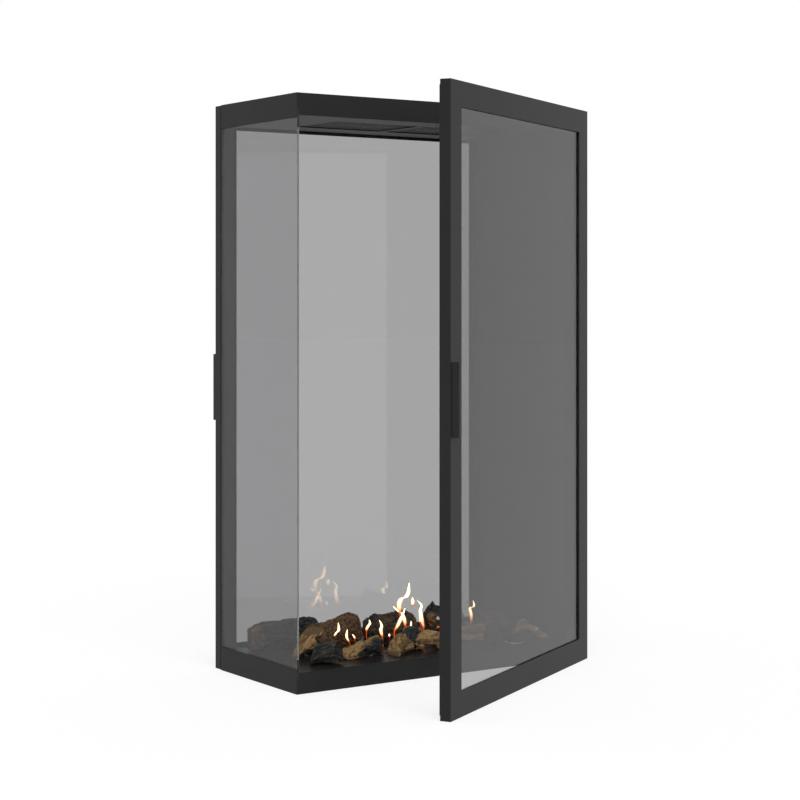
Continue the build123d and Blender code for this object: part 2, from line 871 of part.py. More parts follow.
# Logs: start and end are shares of the hearth's width and depth, counted from its left front corner.
# Thicknesses, the sideways bow and the arch under the middle are sizes, and split turns a split face.
Log = namedtuple("Log", "start end start_thickness end_thickness bow arch phase split",
                 defaults=(0, 0, 0, None))
logs = {
    "left_cross_log": Log((0.055, 0.84), (0.225, 0.75), 62, 73, bow=4, phase=0.3),
    "rear_left_log": Log((0.285, 0.61), (0.405, 0.735), 56, 76, phase=1.1),
    "split_left_log": Log((0.085, 0.45), (0.19, 0.47), 44, 56, bow=-4, phase=2.0, split=80),
    "front_dark_log": Log((0.105, 0.215), (0.18, 0.115), 47, 50, bow=2, phase=2.9),
    "front_tan_log": Log((0.235, 0.20), (0.375, 0.27), 38, 42, phase=0.8, split=70),
    "forked_log": Log((0.355, 0.14), (0.525, 0.355), 40, 52, bow=-4, phase=1.7),
    "rear_middle_log": Log((0.465, 0.785), (0.635, 0.735), 60, 58, bow=4, phase=2.4),
    "charred_log": Log((0.66, 0.625), (0.79, 0.60), 62, 67, bow=4, phase=0.1),
    "arched_log": Log((0.475, 0.22), (0.60, 0.17), 32, 30, bow=6, arch=9, phase=1.4, split=80),
    "split_block_log": Log((0.665, 0.33), (0.78, 0.30), 47, 48, phase=1.4, split=60),
    "short_dark_log": Log((0.755, 0.125), (0.785, 0.225), 36, 38, phase=2.6),
    "rear_right_log": Log((0.855, 0.60), (0.945, 0.50), 58, 44, phase=2.2),
    "curved_end_log": Log((0.915, 0.315), (0.965, 0.155), 44, 24, bow=-6, arch=6, phase=0.6, split=50),
}

# Broken branch stubs: log, place along it, direction round it (0 is its left side, 90 is up),
# length, thickness at the root, and how far the tip leans along the log
Stub = namedtuple("Stub", "log along angle length thickness lean")
stubs = [
    Stub("charred_log", 0.12, 78, 16, 22, -5),
    Stub("split_left_log", 0.86, 70, 12, 24, 16),
    Stub("forked_log", 0.50, 205, 20, 30, 22),
    Stub("rear_middle_log", 0.14, 100, 7, 26, -6),
    Stub("rear_left_log", 0.22, 110, 8, 18, -4),
]
log_stations = 8
log_sides = 12
log_end_share = 0.88
log_seat_share = 0.86
log_split_share = 0.55
log_swell_share = 0.06
log_swell_turn = 7.0
lump_share = 0.10
ridge_share = 0.06
ridge_twist = 4.0
stub_tip_share = 0.3
stub_sides = 6
log_clearance = 3.0


def hearth_point(share_x, share_y):
    """Point on the hearth from shares of its width and depth."""
    return (tray_left + share_x * (liner_face - tray_left), front + share_y * casing_depth)


def log_axes(log):
    """Start point, run and left-hand direction of a log on the hearth."""
    (ax, ay), (bx, by) = hearth_point(*log.start), hearth_point(*log.end)
    length = hypot(bx - ax, by - ay)
    return (ax, ay), (bx - ax, by - ay), (-(by - ay) / length, (bx - ax) / length)


def log_radius(log, t):
    """Half the thickness of a log at a share of its length, with a slight swell."""
    radius = (log.start_thickness * (1 - t) + log.end_thickness * t) / 2
    return radius * (1 + log_swell_share * sin(log_swell_turn * t + log.phase))


def log_rings(log):
    """Outlines across a log from end to end, each flattened where it lies on the hearth."""
    (ax, ay), (run_x, run_y), (side_x, side_y) = log_axes(log)
    rings = []
    for station in range(log_stations):
        t = station / (log_stations - 1)
        radius = log_radius(log, t)
        if station in (0, log_stations - 1):
            radius *= log_end_share
        shift = log.bow * sin(pi * t)
        lift = log.arch * sin(pi * t)
        points = []
        for k in range(log_sides):
            angle = 2 * pi * k / log_sides
            reach = 1 + lump_share * sin(3 * angle + log.phase)
            reach += ridge_share * cos(5 * angle + 2 * log.phase + ridge_twist * t)
            u, v = split_back(radius * reach * cos(angle), radius * reach * sin(angle), radius, log.split)
            points.append((ax + run_x * t + side_x * (shift + u), ay + run_y * t + side_y * (shift + u),
                           hearth_top + lift + max(0, radius * log_seat_share + v)))
        rings.append(points)
    return rings


def stub_solid(stub):
    """Tapered, broken-off branch that starts inside its log."""
    log = logs[stub.log]
    (ax, ay), (run_x, run_y), (side_x, side_y) = log_axes(log)
    length = hypot(run_x, run_y)
    radius = log_radius(log, stub.along)
    middle = (ax + run_x * stub.along, ay + run_y * stub.along, hearth_top + radius * log_seat_share)
    out = (side_x * cos(radians(stub.angle)), side_y * cos(radians(stub.angle)), sin(radians(stub.angle)))
    reach = radius + stub.length
    tip = tuple(m + o * reach + lean for m, o, lean in
                zip(middle, out, (run_x / length * stub.lean, run_y / length * stub.lean, 0)))
    axis = Vector(*tip) - Vector(*middle)
    root = Plane(middle, z_dir=axis) * RegularPolygon(stub.thickness / 2, stub_sides)
    end = Plane(tip, z_dir=axis) * RegularPolygon(stub.thickness / 2 * stub_tip_share, stub_sides)
    return loft([root.face(), end.face()], ruled=True)


def split_back(u, v, radius, split):
    """Move a point of a log's outline back to its split face, if it has one."""
    if split is None:
        return u, v
    nu, nv = cos(radians(split)), sin(radians(split))
    beyond = max(0, u * nu + v * nv - log_split_share * radius)
    return u - nu * beyond, v - nv * beyond


def faceted(rings):
    """Solid with flat facets through a row of outlines."""
    faces = [Face(Wire.make_polygon(rings[0])), Face(Wire.make_polygon(rings[-1]))]
    for near, far in zip(rings, rings[1:]):
        count = len(near)
        for k in range(count):
            a, b, c, d = near[k], near[(k + 1) % count], far[(k + 1) % count], far[k]
            faces.append(Face(Wire.make_polygon([a, b, c])))
            faces.append(Face(Wire.make_polygon([a, c, d])))
    return Solid(Shell(faces))


def largest(shape):
    """The biggest solid left after a cut."""
    return max(shape.solids(), key=lambda solid: solid.volume)


def touches(one, other):
    """Whether the boxes around two shapes overlap."""
    a, b = one.bounding_box(), other.bounding_box()
    return (a.min.X < b.max.X and b.min.X < a.max.X and a.min.Y < b.max.Y and b.min.Y < a.max.Y
            and a.min.Z < b.max.Z and b.min.Z < a.max.Z)


def kept_clear():
    """Spaces that no log may enter: the hearth, over the filler and along the damper knob's way."""
    hearth = block(tray_left, liner_face, front, back, 0, hearth_top)
    top = casing_height
    reach = knob_radius + log_clearance
    way = block(peg_x() - reach, peg_x() + reach, 0, damper_rest_y(), hearth_top, top)
    ends = [upright(peg_x(), y, hearth_top, top, reach) for y in (0, damper_rest_y())]
    over_filler = upright(filler_x, filler_y, hearth_top, top, filler_rim_radius + log_clearance)
    return ends + [way, over_filler, hearth]


def log_set():
    """All logs, each moulded to sit against the ones before it."""
    clear = kept_clear()
    made = {}
    for name, log in logs.items():
        solid = faceted(log_rings(log))
        for stub in stubs:
            if stub.log == name:
                solid = solid + stub_solid(stub)
        for other in clear + list(made.values()):
            if touches(solid, other):
                solid = largest(solid - other)
        made[name] = solid
    return made


def casing_pieces():
    """Every fixed piece by name, without the logs."""
    return {
        "base_tray": base_tray(),
        "hearth_plate": hearth_plate(),
        "top_cover": top_cover(),
        "tray_ledges": group(tray_ledges()),
        "ceiling_panel": ceiling_panel(),
        "ceiling_grilles": group(ceiling_grille(middle) for middle in grille_middles()),
        "side_fascias": group([side_fascia(0), side_fascia(casing_height - side_fascia_height)]),
        "side_spacer_bars": group(side_spacers()),
        "side_glass": side_pane(),
        "side_glass_seals": group(side_pane_seals() + side_pane_pads()),
        "wall_posts": group(wall_posts()),
        "wall_liner": wall_liner(),
        "wall_insulation": wall_insulation(),
        "outer_wall_panel": outer_panel(),
        "casing_hinge_leaves": group(both_sides(casing_leaf(z) for z in hinge_heights())),
        "hinge_pins": group(both_sides(hinge_pin(z) for z in hinge_heights())),
        "hinge_washers": group(both_sides(hinge_washer(z) for z in hinge_heights())),
        "burner_tank": burner_tank(),
        "burner_wool": burner_wool(),
        "burner_lid": burner_lid(),
        "damper_guides": group(damper_guides()),
        "filler_neck": filler_neck(),
        "flush_screws": group(ceiling_screws() + panel_screws() + casing_leaf_screws()
                              + burner_screws(lid_screw_step) + burner_screws(rim_screw_step)),
        "spacer_screws": group(spacer_screws()),
    }


def main():
    os.makedirs("parts", exist_ok=True)
    pieces = casing_pieces()
    pieces.update(log_set())
    pieces["flame_damper"] = flame_damper()
    pieces["damper_knob"] = damper_knob()
    pieces["filler_cap"] = filler_cap()
    for name, shape in door_pieces().items():
        pieces["front_door_" + name] = door_swing * shape
        pieces["back_door_" + name] = mirrored(shape)
    for name, shape in pieces.items():
        export_step(shape, "parts/" + name + ".step")


if __name__ == "__main__":
    main()
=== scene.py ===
import json
import math
import random
from collections import namedtuple

import bpy
import numpy as np
from bpy.props import FloatProperty, FloatVectorProperty, IntProperty, PointerProperty
from mathutils import Matrix, Vector, noise


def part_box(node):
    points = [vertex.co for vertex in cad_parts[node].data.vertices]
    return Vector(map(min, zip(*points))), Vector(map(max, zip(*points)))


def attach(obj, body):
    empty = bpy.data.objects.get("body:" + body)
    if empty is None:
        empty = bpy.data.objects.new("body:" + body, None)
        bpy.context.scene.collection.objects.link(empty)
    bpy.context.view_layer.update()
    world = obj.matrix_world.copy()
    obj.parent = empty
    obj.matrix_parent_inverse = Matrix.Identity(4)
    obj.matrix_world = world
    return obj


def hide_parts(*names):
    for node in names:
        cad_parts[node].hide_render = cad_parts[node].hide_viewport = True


bl_info = {
    "name": "Double-Sided Ethanol Fireplace",
    "version": (1, 0, 0),
    "blender": (4, 5, 0),
    "location": "3D View > Sidebar > Fireplace",
    "description": "Finishes, burnt logs, flames and a white studio for the packed fireplace",
    "category": "Object",
}

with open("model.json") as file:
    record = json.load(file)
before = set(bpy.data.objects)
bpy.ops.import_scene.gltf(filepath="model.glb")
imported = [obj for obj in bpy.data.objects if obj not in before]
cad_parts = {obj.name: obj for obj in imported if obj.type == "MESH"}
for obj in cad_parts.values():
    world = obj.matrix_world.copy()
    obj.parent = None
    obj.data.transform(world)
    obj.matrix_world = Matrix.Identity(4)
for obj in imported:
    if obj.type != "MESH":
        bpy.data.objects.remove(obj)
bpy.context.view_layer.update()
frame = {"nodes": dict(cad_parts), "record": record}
nodes = frame["nodes"]
slot_of = {part["node"]: part["material_slot"] for part in frame["record"]["subparts"]}
hearth_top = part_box("hearth_plate")[1][2]
lid_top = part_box("burner_lid")[1][2]

MM = 0.001
# Inputs of the Mix node when it mixes colours.
MIX_A, MIX_B = 6, 7
# At a scale of 1, the crowns of a wave texture lie this far apart, in metres.
WAVE_CROWNS = 0.314
# What the carving writes on each point of a log, for its paint to follow.
# The groove is the carved depth, which the paint darkens as painted shade.
MASKS = ("groove", "char", "end", "ash")
# How far soot reaches from the flame slot.
SOOT_REACH = 60 * MM


def linear(hex_colour):
    """Blender's linear red, green and blue of an sRGB hex colour."""
    shares = [int(hex_colour[i:i + 2], 16) / 255 for i in (1, 3, 5)]
    return tuple(s / 12.92 if s <= 0.04045 else ((s + 0.055) / 1.055) ** 2.4 for s in shares)


def opaque(colour, brightness=1.0):
    """What a colour socket takes for a colour, given as an sRGB hex value or as linear shares."""
    shares = linear(colour) if isinstance(colour, str) else colour
    return (*(share * brightness for share in shares), 1.0)


# What a user would change


class SteelSettings(bpy.types.PropertyGroup):
    """Powder coat of the casing and the doors."""

    colour: FloatVectorProperty(
        name="Colour", description="Colour of the powder coat",
        subtype="COLOR", size=3, min=0.0, max=1.0, default=linear("#2d2d2e"))
    pebble: FloatProperty(
        name="Pebble", description="Width of the coat's fine pebbles",
        subtype="DISTANCE", unit="LENGTH", min=0.0002, default=1.6 * MM)
    roughness: FloatProperty(
        name="Roughness", description="How matt the coat is",
        subtype="FACTOR", min=0.0, max=1.0, default=0.36)


class HearthSettings(bpy.types.PropertyGroup):
    """Enamel of the hearth plate."""

    colour: FloatVectorProperty(
        name="Colour", description="Colour of the enamel",
        subtype="COLOR", size=3, min=0.0, max=1.0, default=linear("#191919"))
    ripple: FloatProperty(
        name="Ripple", description="Width of the slight waves in the enamel",
        subtype="DISTANCE", unit="LENGTH", min=0.001, default=9 * MM)
    roughness: FloatProperty(
        name="Roughness", description="How matt the enamel is",
        subtype="FACTOR", min=0.0, max=1.0, default=0.28)


class GlassSettings(bpy.types.PropertyGroup):
    """Grey ceramic glass of the doors and the side."""

    tint: FloatVectorProperty(
        name="Tint", description="What the glass leaves of white light",
        subtype="COLOR", size=3, min=0.0, max=1.0, default=linear("#b9b9ba"))
    side_tint: FloatVectorProperty(
        name="Side Tint", description="What the paler glass of the side leaves of white light",
        subtype="COLOR", size=3, min=0.0, max=1.0, default=linear("#cdcdce"))
    coat: FloatProperty(
        name="Coat", description="How much the heat-reflecting coat of the doors mirrors",
        subtype="FACTOR", min=0.0, max=1.0, default=0.13)
    side_coat: FloatProperty(
        name="Side Coat", description="How much the coat of the side mirrors",
        subtype="FACTOR", min=0.0, max=1.0, default=0.05)
    wave: FloatProperty(
        name="Wave", description="Width of the faint rolling waves",
        subtype="DISTANCE", unit="LENGTH", min=0.005, default=70 * MM)


class LogSettings(bpy.types.PropertyGroup):
    """Ceramic logs."""

    fineness: FloatProperty(
        name="Fineness", description="Size of the faces that the logs are carved from",
        subtype="DISTANCE", unit="LENGTH", min=0.0008, default=1.3 * MM)
    furrow: FloatProperty(
        name="Furrow", description="Depth of the furrows between bark plates",
        subtype="DISTANCE", unit="LENGTH", min=0.0, default=2.8 * MM)
    crack: FloatProperty(
        name="Crack", description="Depth of the cracks between char scales",
        subtype="DISTANCE", unit="LENGTH", min=0.0, default=2.6 * MM)
    splinter: FloatProperty(
        name="Splinter", description="Depth of the steps on a split face",
        subtype="DISTANCE", unit="LENGTH", min=0.0, default=2.2 * MM)
    swell: FloatProperty(
        name="Swell", description="How far outside the plain solid the carving starts",
        subtype="DISTANCE", unit="LENGTH", min=0.0, default=2.5 * MM)


class FlameSettings(bpy.types.PropertyGroup):
    """Flames and embers."""

    root_colour: FloatVectorProperty(
        name="Root", description="Colour where a flame leaves the burner",
        subtype="COLOR", size=3, min=0.0, max=1.0, default=linear("#d24a12"))
    body_colour: FloatVectorProperty(
        name="Body", description="Colour of the brightest part of a flame",
        subtype="COLOR", size=3, min=0.0, max=1.0, default=linear("#ffd9a0"))
    brightness: FloatProperty(
        name="Brightness", description="Strength of the brightest part of a flame",
        min=0.0, default=7.0)
    glow: FloatProperty(
        name="Glow", description="Power of the warm light that each large flame throws on the logs",
        subtype="POWER", unit="POWER", min=0.0, default=0.02)
    embers: IntProperty(
        name="Embers", description="Number of glowing chips beside the flame slot",
        min=0, default=16)


class StudioSettings(bpy.types.PropertyGroup):
    """Camera, floor and lights."""

    camera_place: FloatVectorProperty(
        name="Camera", description="Where the camera stands",
        subtype="TRANSLATION", unit="LENGTH", size=3, default=(-2.3495, -3.4667, 0.7877))
    camera_turn: FloatProperty(
        name="Turn", description="Turn of the camera about the upright, clockwise from above",
        subtype="ANGLE", unit="ROTATION", default=math.radians(34.077))
    focal_length: FloatProperty(
        name="Focal Length", description="Focal length in millimetres on a 36 mm sensor",
        subtype="DISTANCE_CAMERA", min=1.0, default=87.196)
    shift: FloatProperty(
        name="Shift", description="Vertical shift of the camera",
        default=-0.12595)
    sky: FloatProperty(
        name="Sky", description="Strength of the even light from all round",
        min=0.0, default=0.55)
    key: FloatProperty(
        name="Key", description="Strength of the soft light from the upper left front",
        min=0.0, default=1.6)
    floor: FloatVectorProperty(
        name="Floor", description="Colour of the floor",
        subtype="COLOR", size=3, min=0.0, max=1.0, default=(0.6, 0.6, 0.6))


# Materials


def add_node(tree, kind, inputs=None, **settings):
    """Adds a node with its settings. An input takes a value, a socket, or a node's first output."""
    node = tree.nodes.new("ShaderNode" + kind)
    for name, value in settings.items():
        setattr(node, name, value)
    for name, value in (inputs or {}).items():
        if isinstance(value, bpy.types.Node):
            value = next(output for output in value.outputs if output.enabled)
        if isinstance(value, bpy.types.NodeSocket):
            tree.links.new(value, node.inputs[name])
        else:
            node.inputs[name].default_value = value
    return node


def make_material(name, surface, *look):
    """A material from the shader that one of the functions below lays for its look."""
    material = bpy.data.materials.new(name)
    material.use_nodes = True
    # What glows is only seen. Lamps light the scene, with less noise.
    material.cycles.emission_sampling = "NONE"
    tree = material.node_tree
    tree.nodes.clear()
    add_node(tree, "OutputMaterial", {"Surface": surface(tree, *look)})
    return material


def in_relief(tree, height, strength, depth, look):
    """A shader with the inputs of its look, and a fine relief that follows a height."""
    relief = add_node(tree, "Bump", {"Height": height, "Strength": strength, "Distance": depth})
    return add_node(tree, "BsdfPrincipled", {**look, "Normal": relief})


def finish_slot(slot, material):
    """Gives a material to the CAD nodes of one of the record's slots."""
    for name, node in nodes.items():
        if slot_of[name] == slot:
            finish_node(node, material)


def finish_node(node, material):
    """Gives a material to one CAD node."""
    if not node.material_slots:
        node.data.materials.append(material)
    for held in node.material_slots:
        held.material = material


def powder_coated_steel(tree, settings):
    """Mild steel with a baked black polyester powder coat."""
    # It looks satin black with a faint pebble, and only lights up where it is seen at a shallow
    # angle. Real pebbles are about 0.3 mm wide, too fine to show here, so they are drawn coarser.
    place = add_node(tree, "TexCoord").outputs["Object"]
    cloud = add_node(tree, "TexNoise", {"Vector": place, "Scale": 1 / (90 * MM), "Detail": 3.0})
    pebble = add_node(tree, "TexNoise", {
        "Vector": place, "Scale": 1 / settings.pebble, "Detail": 2.0, "Roughness": 0.6})
    shade = add_node(tree, "Mix", {
        0: cloud, MIX_A: opaque(settings.colour, 0.86), MIX_B: opaque(settings.colour, 1.14)},
        data_type="RGBA")
    gloss = add_node(tree, "MapRange", {
        "Value": pebble, "To Min": settings.roughness - 0.05, "To Max": settings.roughness + 0.05})
    return in_relief(tree, pebble, strength=0.12, depth=0.1 * MM, look={
        "Base Color": shade, "Roughness": gloss, "IOR": 1.5, "Specular IOR Level": 0.06})


def glossy_black_enamel(tree, settings):
    """Vitreous enamel fired on the hearth plate."""
    # It looks deep black with slightly rippled, softened reflections of the logs.
    place = add_node(tree, "TexCoord").outputs["Object"]
    ripple = add_node(tree, "TexNoise", {
        "Vector": place, "Scale": 1 / settings.ripple, "Detail": 1.0})
    dust = add_node(tree, "TexNoise", {"Vector": place, "Scale": 1 / (2.5 * MM), "Detail": 4.0})
    shade = add_node(tree, "Mix", {
        0: dust, MIX_A: opaque(settings.colour), MIX_B: opaque(settings.colour, 2.2)},
        data_type="RGBA")
    gloss = add_node(tree, "MapRange", {
        "Value": dust, "From Min": 0.3, "From Max": 0.8,
        "To Min": settings.roughness - 0.06, "To Max": settings.roughness + 0.12})
    return in_relief(tree, ripple, strength=0.15, depth=0.2 * MM, look={
        "Base Color": shade, "Roughness": gloss, "IOR": 1.5, "Specular IOR Level": 0.16})


def grey_ceramic_glass(tree, tint, coat, wave_width):
    """Rolled glass-ceramic, grey through and through, fire-polished and coated against heat."""
    # It dims what is behind it to a neutral grey. Its tin-oxide coat turns heat back and gives pale
    # mirror images of the flames and the room, nearly as strong face on as at a slant, as a thin
    # film of metal would. So the coat is a metallic share, and the IOR is below glass's usual 1.5.
    place = add_node(tree, "TexCoord").outputs["Object"]
    wave = add_node(tree, "TexNoise", {"Vector": place, "Scale": 1 / wave_width, "Detail": 0.0})
    pane = in_relief(tree, wave, strength=0.02, depth=0.1 * MM, look={
        "Base Color": opaque(tint), "Metallic": coat, "Roughness": 0.0, "IOR": 1.12,
        "Transmission Weight": 1.0})
    # Lamps shine through the panes almost undimmed, as bright studio lamps do, instead of leaving a
    # black shadow inside.
    passed = add_node(tree, "BsdfTransparent", {"Color": (0.95, 0.95, 0.95, 1)})
    path = add_node(tree, "LightPath")
    return add_node(tree, "MixShader", {0: path.outputs["Is Shadow Ray"], 1: pane, 2: passed})


def brushed_stainless_steel(tree, light, dark, soot_reach=0.0):
    """Chrome-nickel steel sheet, brushed along its length, and sooted near the flame slot."""
    # It looks like long fine hairlines that stretch highlights across them. Real brush lines are
    # 0.05 mm apart, so they are drawn 0.8 mm apart and 40 mm long.
    place = add_node(tree, "TexCoord").outputs["Object"]
    stretched = add_node(tree, "Mapping", {
        "Vector": place, "Scale": (1 / (40 * MM), 1 / (0.8 * MM), 1 / (0.8 * MM))})
    lines = add_node(tree, "TexNoise", {"Vector": stretched, "Scale": 1.0, "Detail": 2.0})
    colour = add_node(tree, "Mix", {
        0: lines, MIX_A: opaque(dark), MIX_B: opaque(light)}, data_type="RGBA")
    gloss = 0.30
    if soot_reach:
        soot = soot_beside_slot(tree, place, soot_reach)
        colour = add_node(tree, "Mix", {
            0: soot, MIX_A: colour, MIX_B: opaque("#1a1714")}, data_type="RGBA")
        gloss = add_node(tree, "MapRange", {"Value": soot, "To Min": gloss, "To Max": 0.78})
    return in_relief(tree, lines, strength=0.2, depth=0.05 * MM, look={
        "Base Color": colour, "Metallic": 1.0, "Roughness": gloss})


def soot_beside_slot(tree, place, reach):
    """How sooted a place is: most at the flame slot, which runs along X, and patchy farther out."""
    across = add_node(tree, "SeparateXYZ", {"Vector": place}).outputs["Y"]
    from_slot = add_node(tree, "Math", {0: across}, operation="ABSOLUTE")
    patch = add_node(tree, "TexNoise", {"Vector": place, "Scale": 1 / (22 * MM), "Detail": 4.0})
    edge = add_node(tree, "Math", {0: patch, 1: reach, 2: from_slot}, operation="MULTIPLY_ADD")
    return add_node(tree, "MapRange", {
        "Value": edge, "From Min": reach * 0.7, "From Max": reach * 1.6,
        "To Min": 0.92, "To Max": 0.0})


def turned_metal(tree, light, dark, roughness):
    """Metal turned on a lathe, with fine rings and a little wear."""
    # It looks evenly satin, with small bright and dull patches from handling.
    place = add_node(tree, "TexCoord").outputs["Object"]
    wear = add_node(tree, "TexNoise", {"Vector": place, "Scale": 1 / (3 * MM), "Detail": 5.0})
    rings = add_node(tree, "TexNoise", {"Vector": place, "Scale": 1 / (0.6 * MM), "Detail": 1.0})
    colour = add_node(tree, "Mix", {
        0: wear, MIX_A: opaque(dark), MIX_B: opaque(light)}, data_type="RGBA")
    gloss = add_node(tree, "MapRange", {
        "Value": wear, "To Min": roughness + 0.1, "To Max": roughness - 0.1})
    return in_relief(tree, rings, strength=0.15, depth=0.05 * MM, look={
        "Base Color": colour, "Metallic": 1.0, "Roughness": gloss})


def braided_fibre(tree, light, dark, strand):
    """Glass or ceramic fibre, braided or felted, in strands of a given width."""
    # It looks dead matt, with crossing strands. Their crowns are painted lighter and the hollows
    # between them darker, as painted highlight and painted shade.
    place = add_node(tree, "TexCoord").outputs["Object"]
    crossing = []
    for turn in (math.radians(45), math.radians(-45)):
        laid = add_node(tree, "Mapping", {"Vector": place, "Rotation": (0, turn, turn)})
        wave = add_node(tree, "TexWave", {
            "Vector": laid, "Scale": WAVE_CROWNS / strand, "Distortion": 1.5, "Detail": 2.0})
        crossing.append(wave.outputs["Fac"])
    weave = add_node(tree, "Math", dict(enumerate(crossing)), operation="MAXIMUM")
    # The strands' crowns are painted light and their hollows dark, as painted highlight and shade.
    colour = add_node(tree, "Mix", {
        0: weave, MIX_A: opaque(dark), MIX_B: opaque(light)}, data_type="RGBA")
    return in_relief(tree, weave, strength=0.6, depth=strand / 3, look={
        "Base Color": colour, "Roughness": 0.95, "Specular IOR Level": 0.2, "Sheen Weight": 0.15})


# A paint's groove colour darkens the carved furrows, cracks and steps as painted shade, and also
# tints its stains.
CeramicPaint = namedtuple("CeramicPaint", "light dark groove")
ceramic_paints = {
    "bark_ceramic": CeramicPaint("#715a42", "#483625", "#1d150e"),
    "charred_ceramic": CeramicPaint("#6e5a41", "#40331f", "#1a140e"),
    "split_ceramic": CeramicPaint("#a3865c", "#7b6140", "#43321f"),
}
# The char's light colour stands partly for uneven char and partly for the bluish sheen on the
# crowns of char lumps, a painted highlight. Its groove colour darkens the char cracks as painted
# shade.
char_paint = CeramicPaint("#4b4e4b", "#1f2120", "#0b0a09")
end_grain_light, end_grain_dark = "#6f5a44", "#423322"
ash_grey = "#c9c7c2"


def fired_ceramic(tree, paint):
    """Refractory ceramic, cast in a mould of real wood, fired, and coloured as burnt wood."""
    # It looks dead matt. The carved shape gives the bark, cracks and splinters, and the paint gives
    # fine grain 2 mm apart, rings 3 mm apart on the ends, grey char and white ash. The paint also
    # darkens the carved furrows, cracks and steps as painted shade, and the lighter char specks are
    # partly a painted sheen.
    place = add_node(tree, "TexCoord").outputs["Object"]
    along = add_node(tree, "Mapping", {
        "Vector": place, "Scale": (1 / (42 * MM), 1 / (2 * MM), 1 / (2 * MM))})
    painted = {mask: add_node(tree, "Attribute", attribute_name=mask).outputs["Fac"]
               for mask in MASKS}
    grain = add_node(tree, "TexNoise", {
        "Vector": along, "Scale": 1.0, "Detail": 4.0, "Roughness": 0.65})
    stain = add_node(tree, "TexNoise", {"Vector": place, "Scale": 1 / (16 * MM), "Detail": 4.0})
    speck = add_node(tree, "TexNoise", {
        "Vector": place, "Scale": 1 / (2.4 * MM), "Detail": 4.0, "Roughness": 0.7})
    rings = add_node(tree, "TexWave", {
        "Vector": place, "Scale": WAVE_CROWNS / (3 * MM), "Distortion": 3.0, "Detail": 2.0},
        wave_type="RINGS", rings_direction="X").outputs["Fac"]
    # The last layer darkens the carved grooves as painted shade.
    wood = paint_over(tree, opaque(paint.dark), [
        (opaque(paint.light), grain, 0.36, 0.64, 1.0),
        (opaque(paint.groove), stain, 0.52, 0.80, 0.65),
        (opaque(paint.groove), painted["groove"], 0.1, 0.9, 0.9)])
    end = paint_over(tree, opaque(end_grain_dark), [
        (opaque(end_grain_light), rings, 0.2, 0.8, 1.0)])
    # The lighter specks, which are also the crowns of the relief, are partly a painted sheen, and
    # the cracks are darkened as painted shade.
    char = paint_over(tree, opaque(char_paint.dark), [
        (opaque(char_paint.light), speck, 0.38, 0.68, 1.0),
        (opaque(char_paint.groove), painted["groove"], 0.1, 0.8, 0.9)])
    colour = paint_over(tree, wood, [
        (end, painted["end"], 0.2, 0.8, 1.0),
        (char, painted["char"], 0.2, 0.8, 1.0),
        (opaque(ash_grey), painted["ash"], 0.3, 0.8, 0.95)])
    height = add_node(tree, "Math", {0: grain, 1: speck}, operation="ADD")
    return in_relief(tree, height, strength=0.7, depth=0.8 * MM, look={
        "Base Color": colour, "Roughness": 0.92, "Specular IOR Level": 0.2})


def paint_over(tree, colour, layers):
    """A colour under layers of paint: (paint, mask, mask at none, mask at full, most cover)."""
    for paint, mask, none_at, full_at, cover in layers:
        share = add_node(tree, "MapRange", {
            "Value": mask, "From Min": none_at, "From Max": full_at, "To Max": cover})
        colour = add_node(tree, "Mix", {0: share, MIX_A: colour, MIX_B: paint}, data_type="RGBA")
    return colour


def burning_gas(tree, settings, share_of_brightness, cover):
    """Glowing ethanol flame, which hides what is behind it by its cover."""
    # It looks white hot in its body, yellow at its edge and orange where it leaves the burner.
    place = add_node(tree, "TexCoord").outputs["Object"]
    height = add_node(tree, "Attribute", attribute_name="height").outputs["Fac"]
    lick = add_node(tree, "TexNoise", {"Vector": place, "Scale": 1 / (9 * MM), "Detail": 2.0})
    uneven = add_node(tree, "Math", {0: lick, 1: 0.3, 2: height}, operation="MULTIPLY_ADD")
    heat = add_node(tree, "MapRange", {"Value": uneven, "From Min": 0.25, "From Max": 0.75})
    colour = add_node(tree, "Mix", {
        0: heat, MIX_A: opaque(settings.root_colour, 0.25), MIX_B: opaque(settings.body_colour)},
        data_type="RGBA")
    glow = add_node(tree, "Emission", {
        "Color": colour, "Strength": settings.brightness * share_of_brightness})
    clear = add_node(tree, "BsdfTransparent")
    return add_node(tree, "MixShader", {0: cover, 1: clear, 2: glow})


def glowing_char(tree, settings):
    """Bits of char that glow through their ash."""
    # It looks orange red in the hollows and dull grey on the crowns.
    place = add_node(tree, "TexCoord").outputs["Object"]
    crust = add_node(tree, "TexNoise", {"Vector": place, "Scale": 1 / (2.5 * MM), "Detail": 4.0})
    glow = add_node(tree, "Mix", {
        0: crust, MIX_A: opaque(settings.root_colour), MIX_B: opaque("#270d07")},
        data_type="RGBA")
    return add_node(tree, "BsdfPrincipled", {
        "Base Color": opaque("#2a2422"), "Roughness": 0.95,
        "Emission Color": glow, "Emission Strength": 2.2})


def matt_white_floor(tree, colour):
    """Matt studio paint, seen white, and darker only where the fireplace shades it."""
    # It lights the fireplace as a floor of its own colour does. What is seen of it is a steady glow
    # and a weak share of the lamps' light, which together just reach white in the open.
    plain = add_node(tree, "BsdfDiffuse", {"Color": opaque(colour)})
    shaded = add_node(tree, "BsdfDiffuse", {"Color": (0.26, 0.26, 0.26, 1)})
    steady = add_node(tree, "Emission", {"Color": opaque("#ffffff"), "Strength": 0.775})
    shown = add_node(tree, "AddShader", {0: shaded, 1: steady})
    return add_node(tree, "MixShader", {0: seen(tree), 1: plain, 2: shown})


def seen(tree):
    """1 for rays that the camera sees straight, mirrored or through glass."""
    path = add_node(tree, "LightPath").outputs
    mirrored = add_node(tree, "Math", {
        0: path["Is Glossy Ray"], 1: path["Is Transmission Ray"]}, operation="MAXIMUM")
    return add_node(tree, "Math", {0: path["Is Camera Ray"], 1: mirrored}, operation="MAXIMUM")


# Shapes


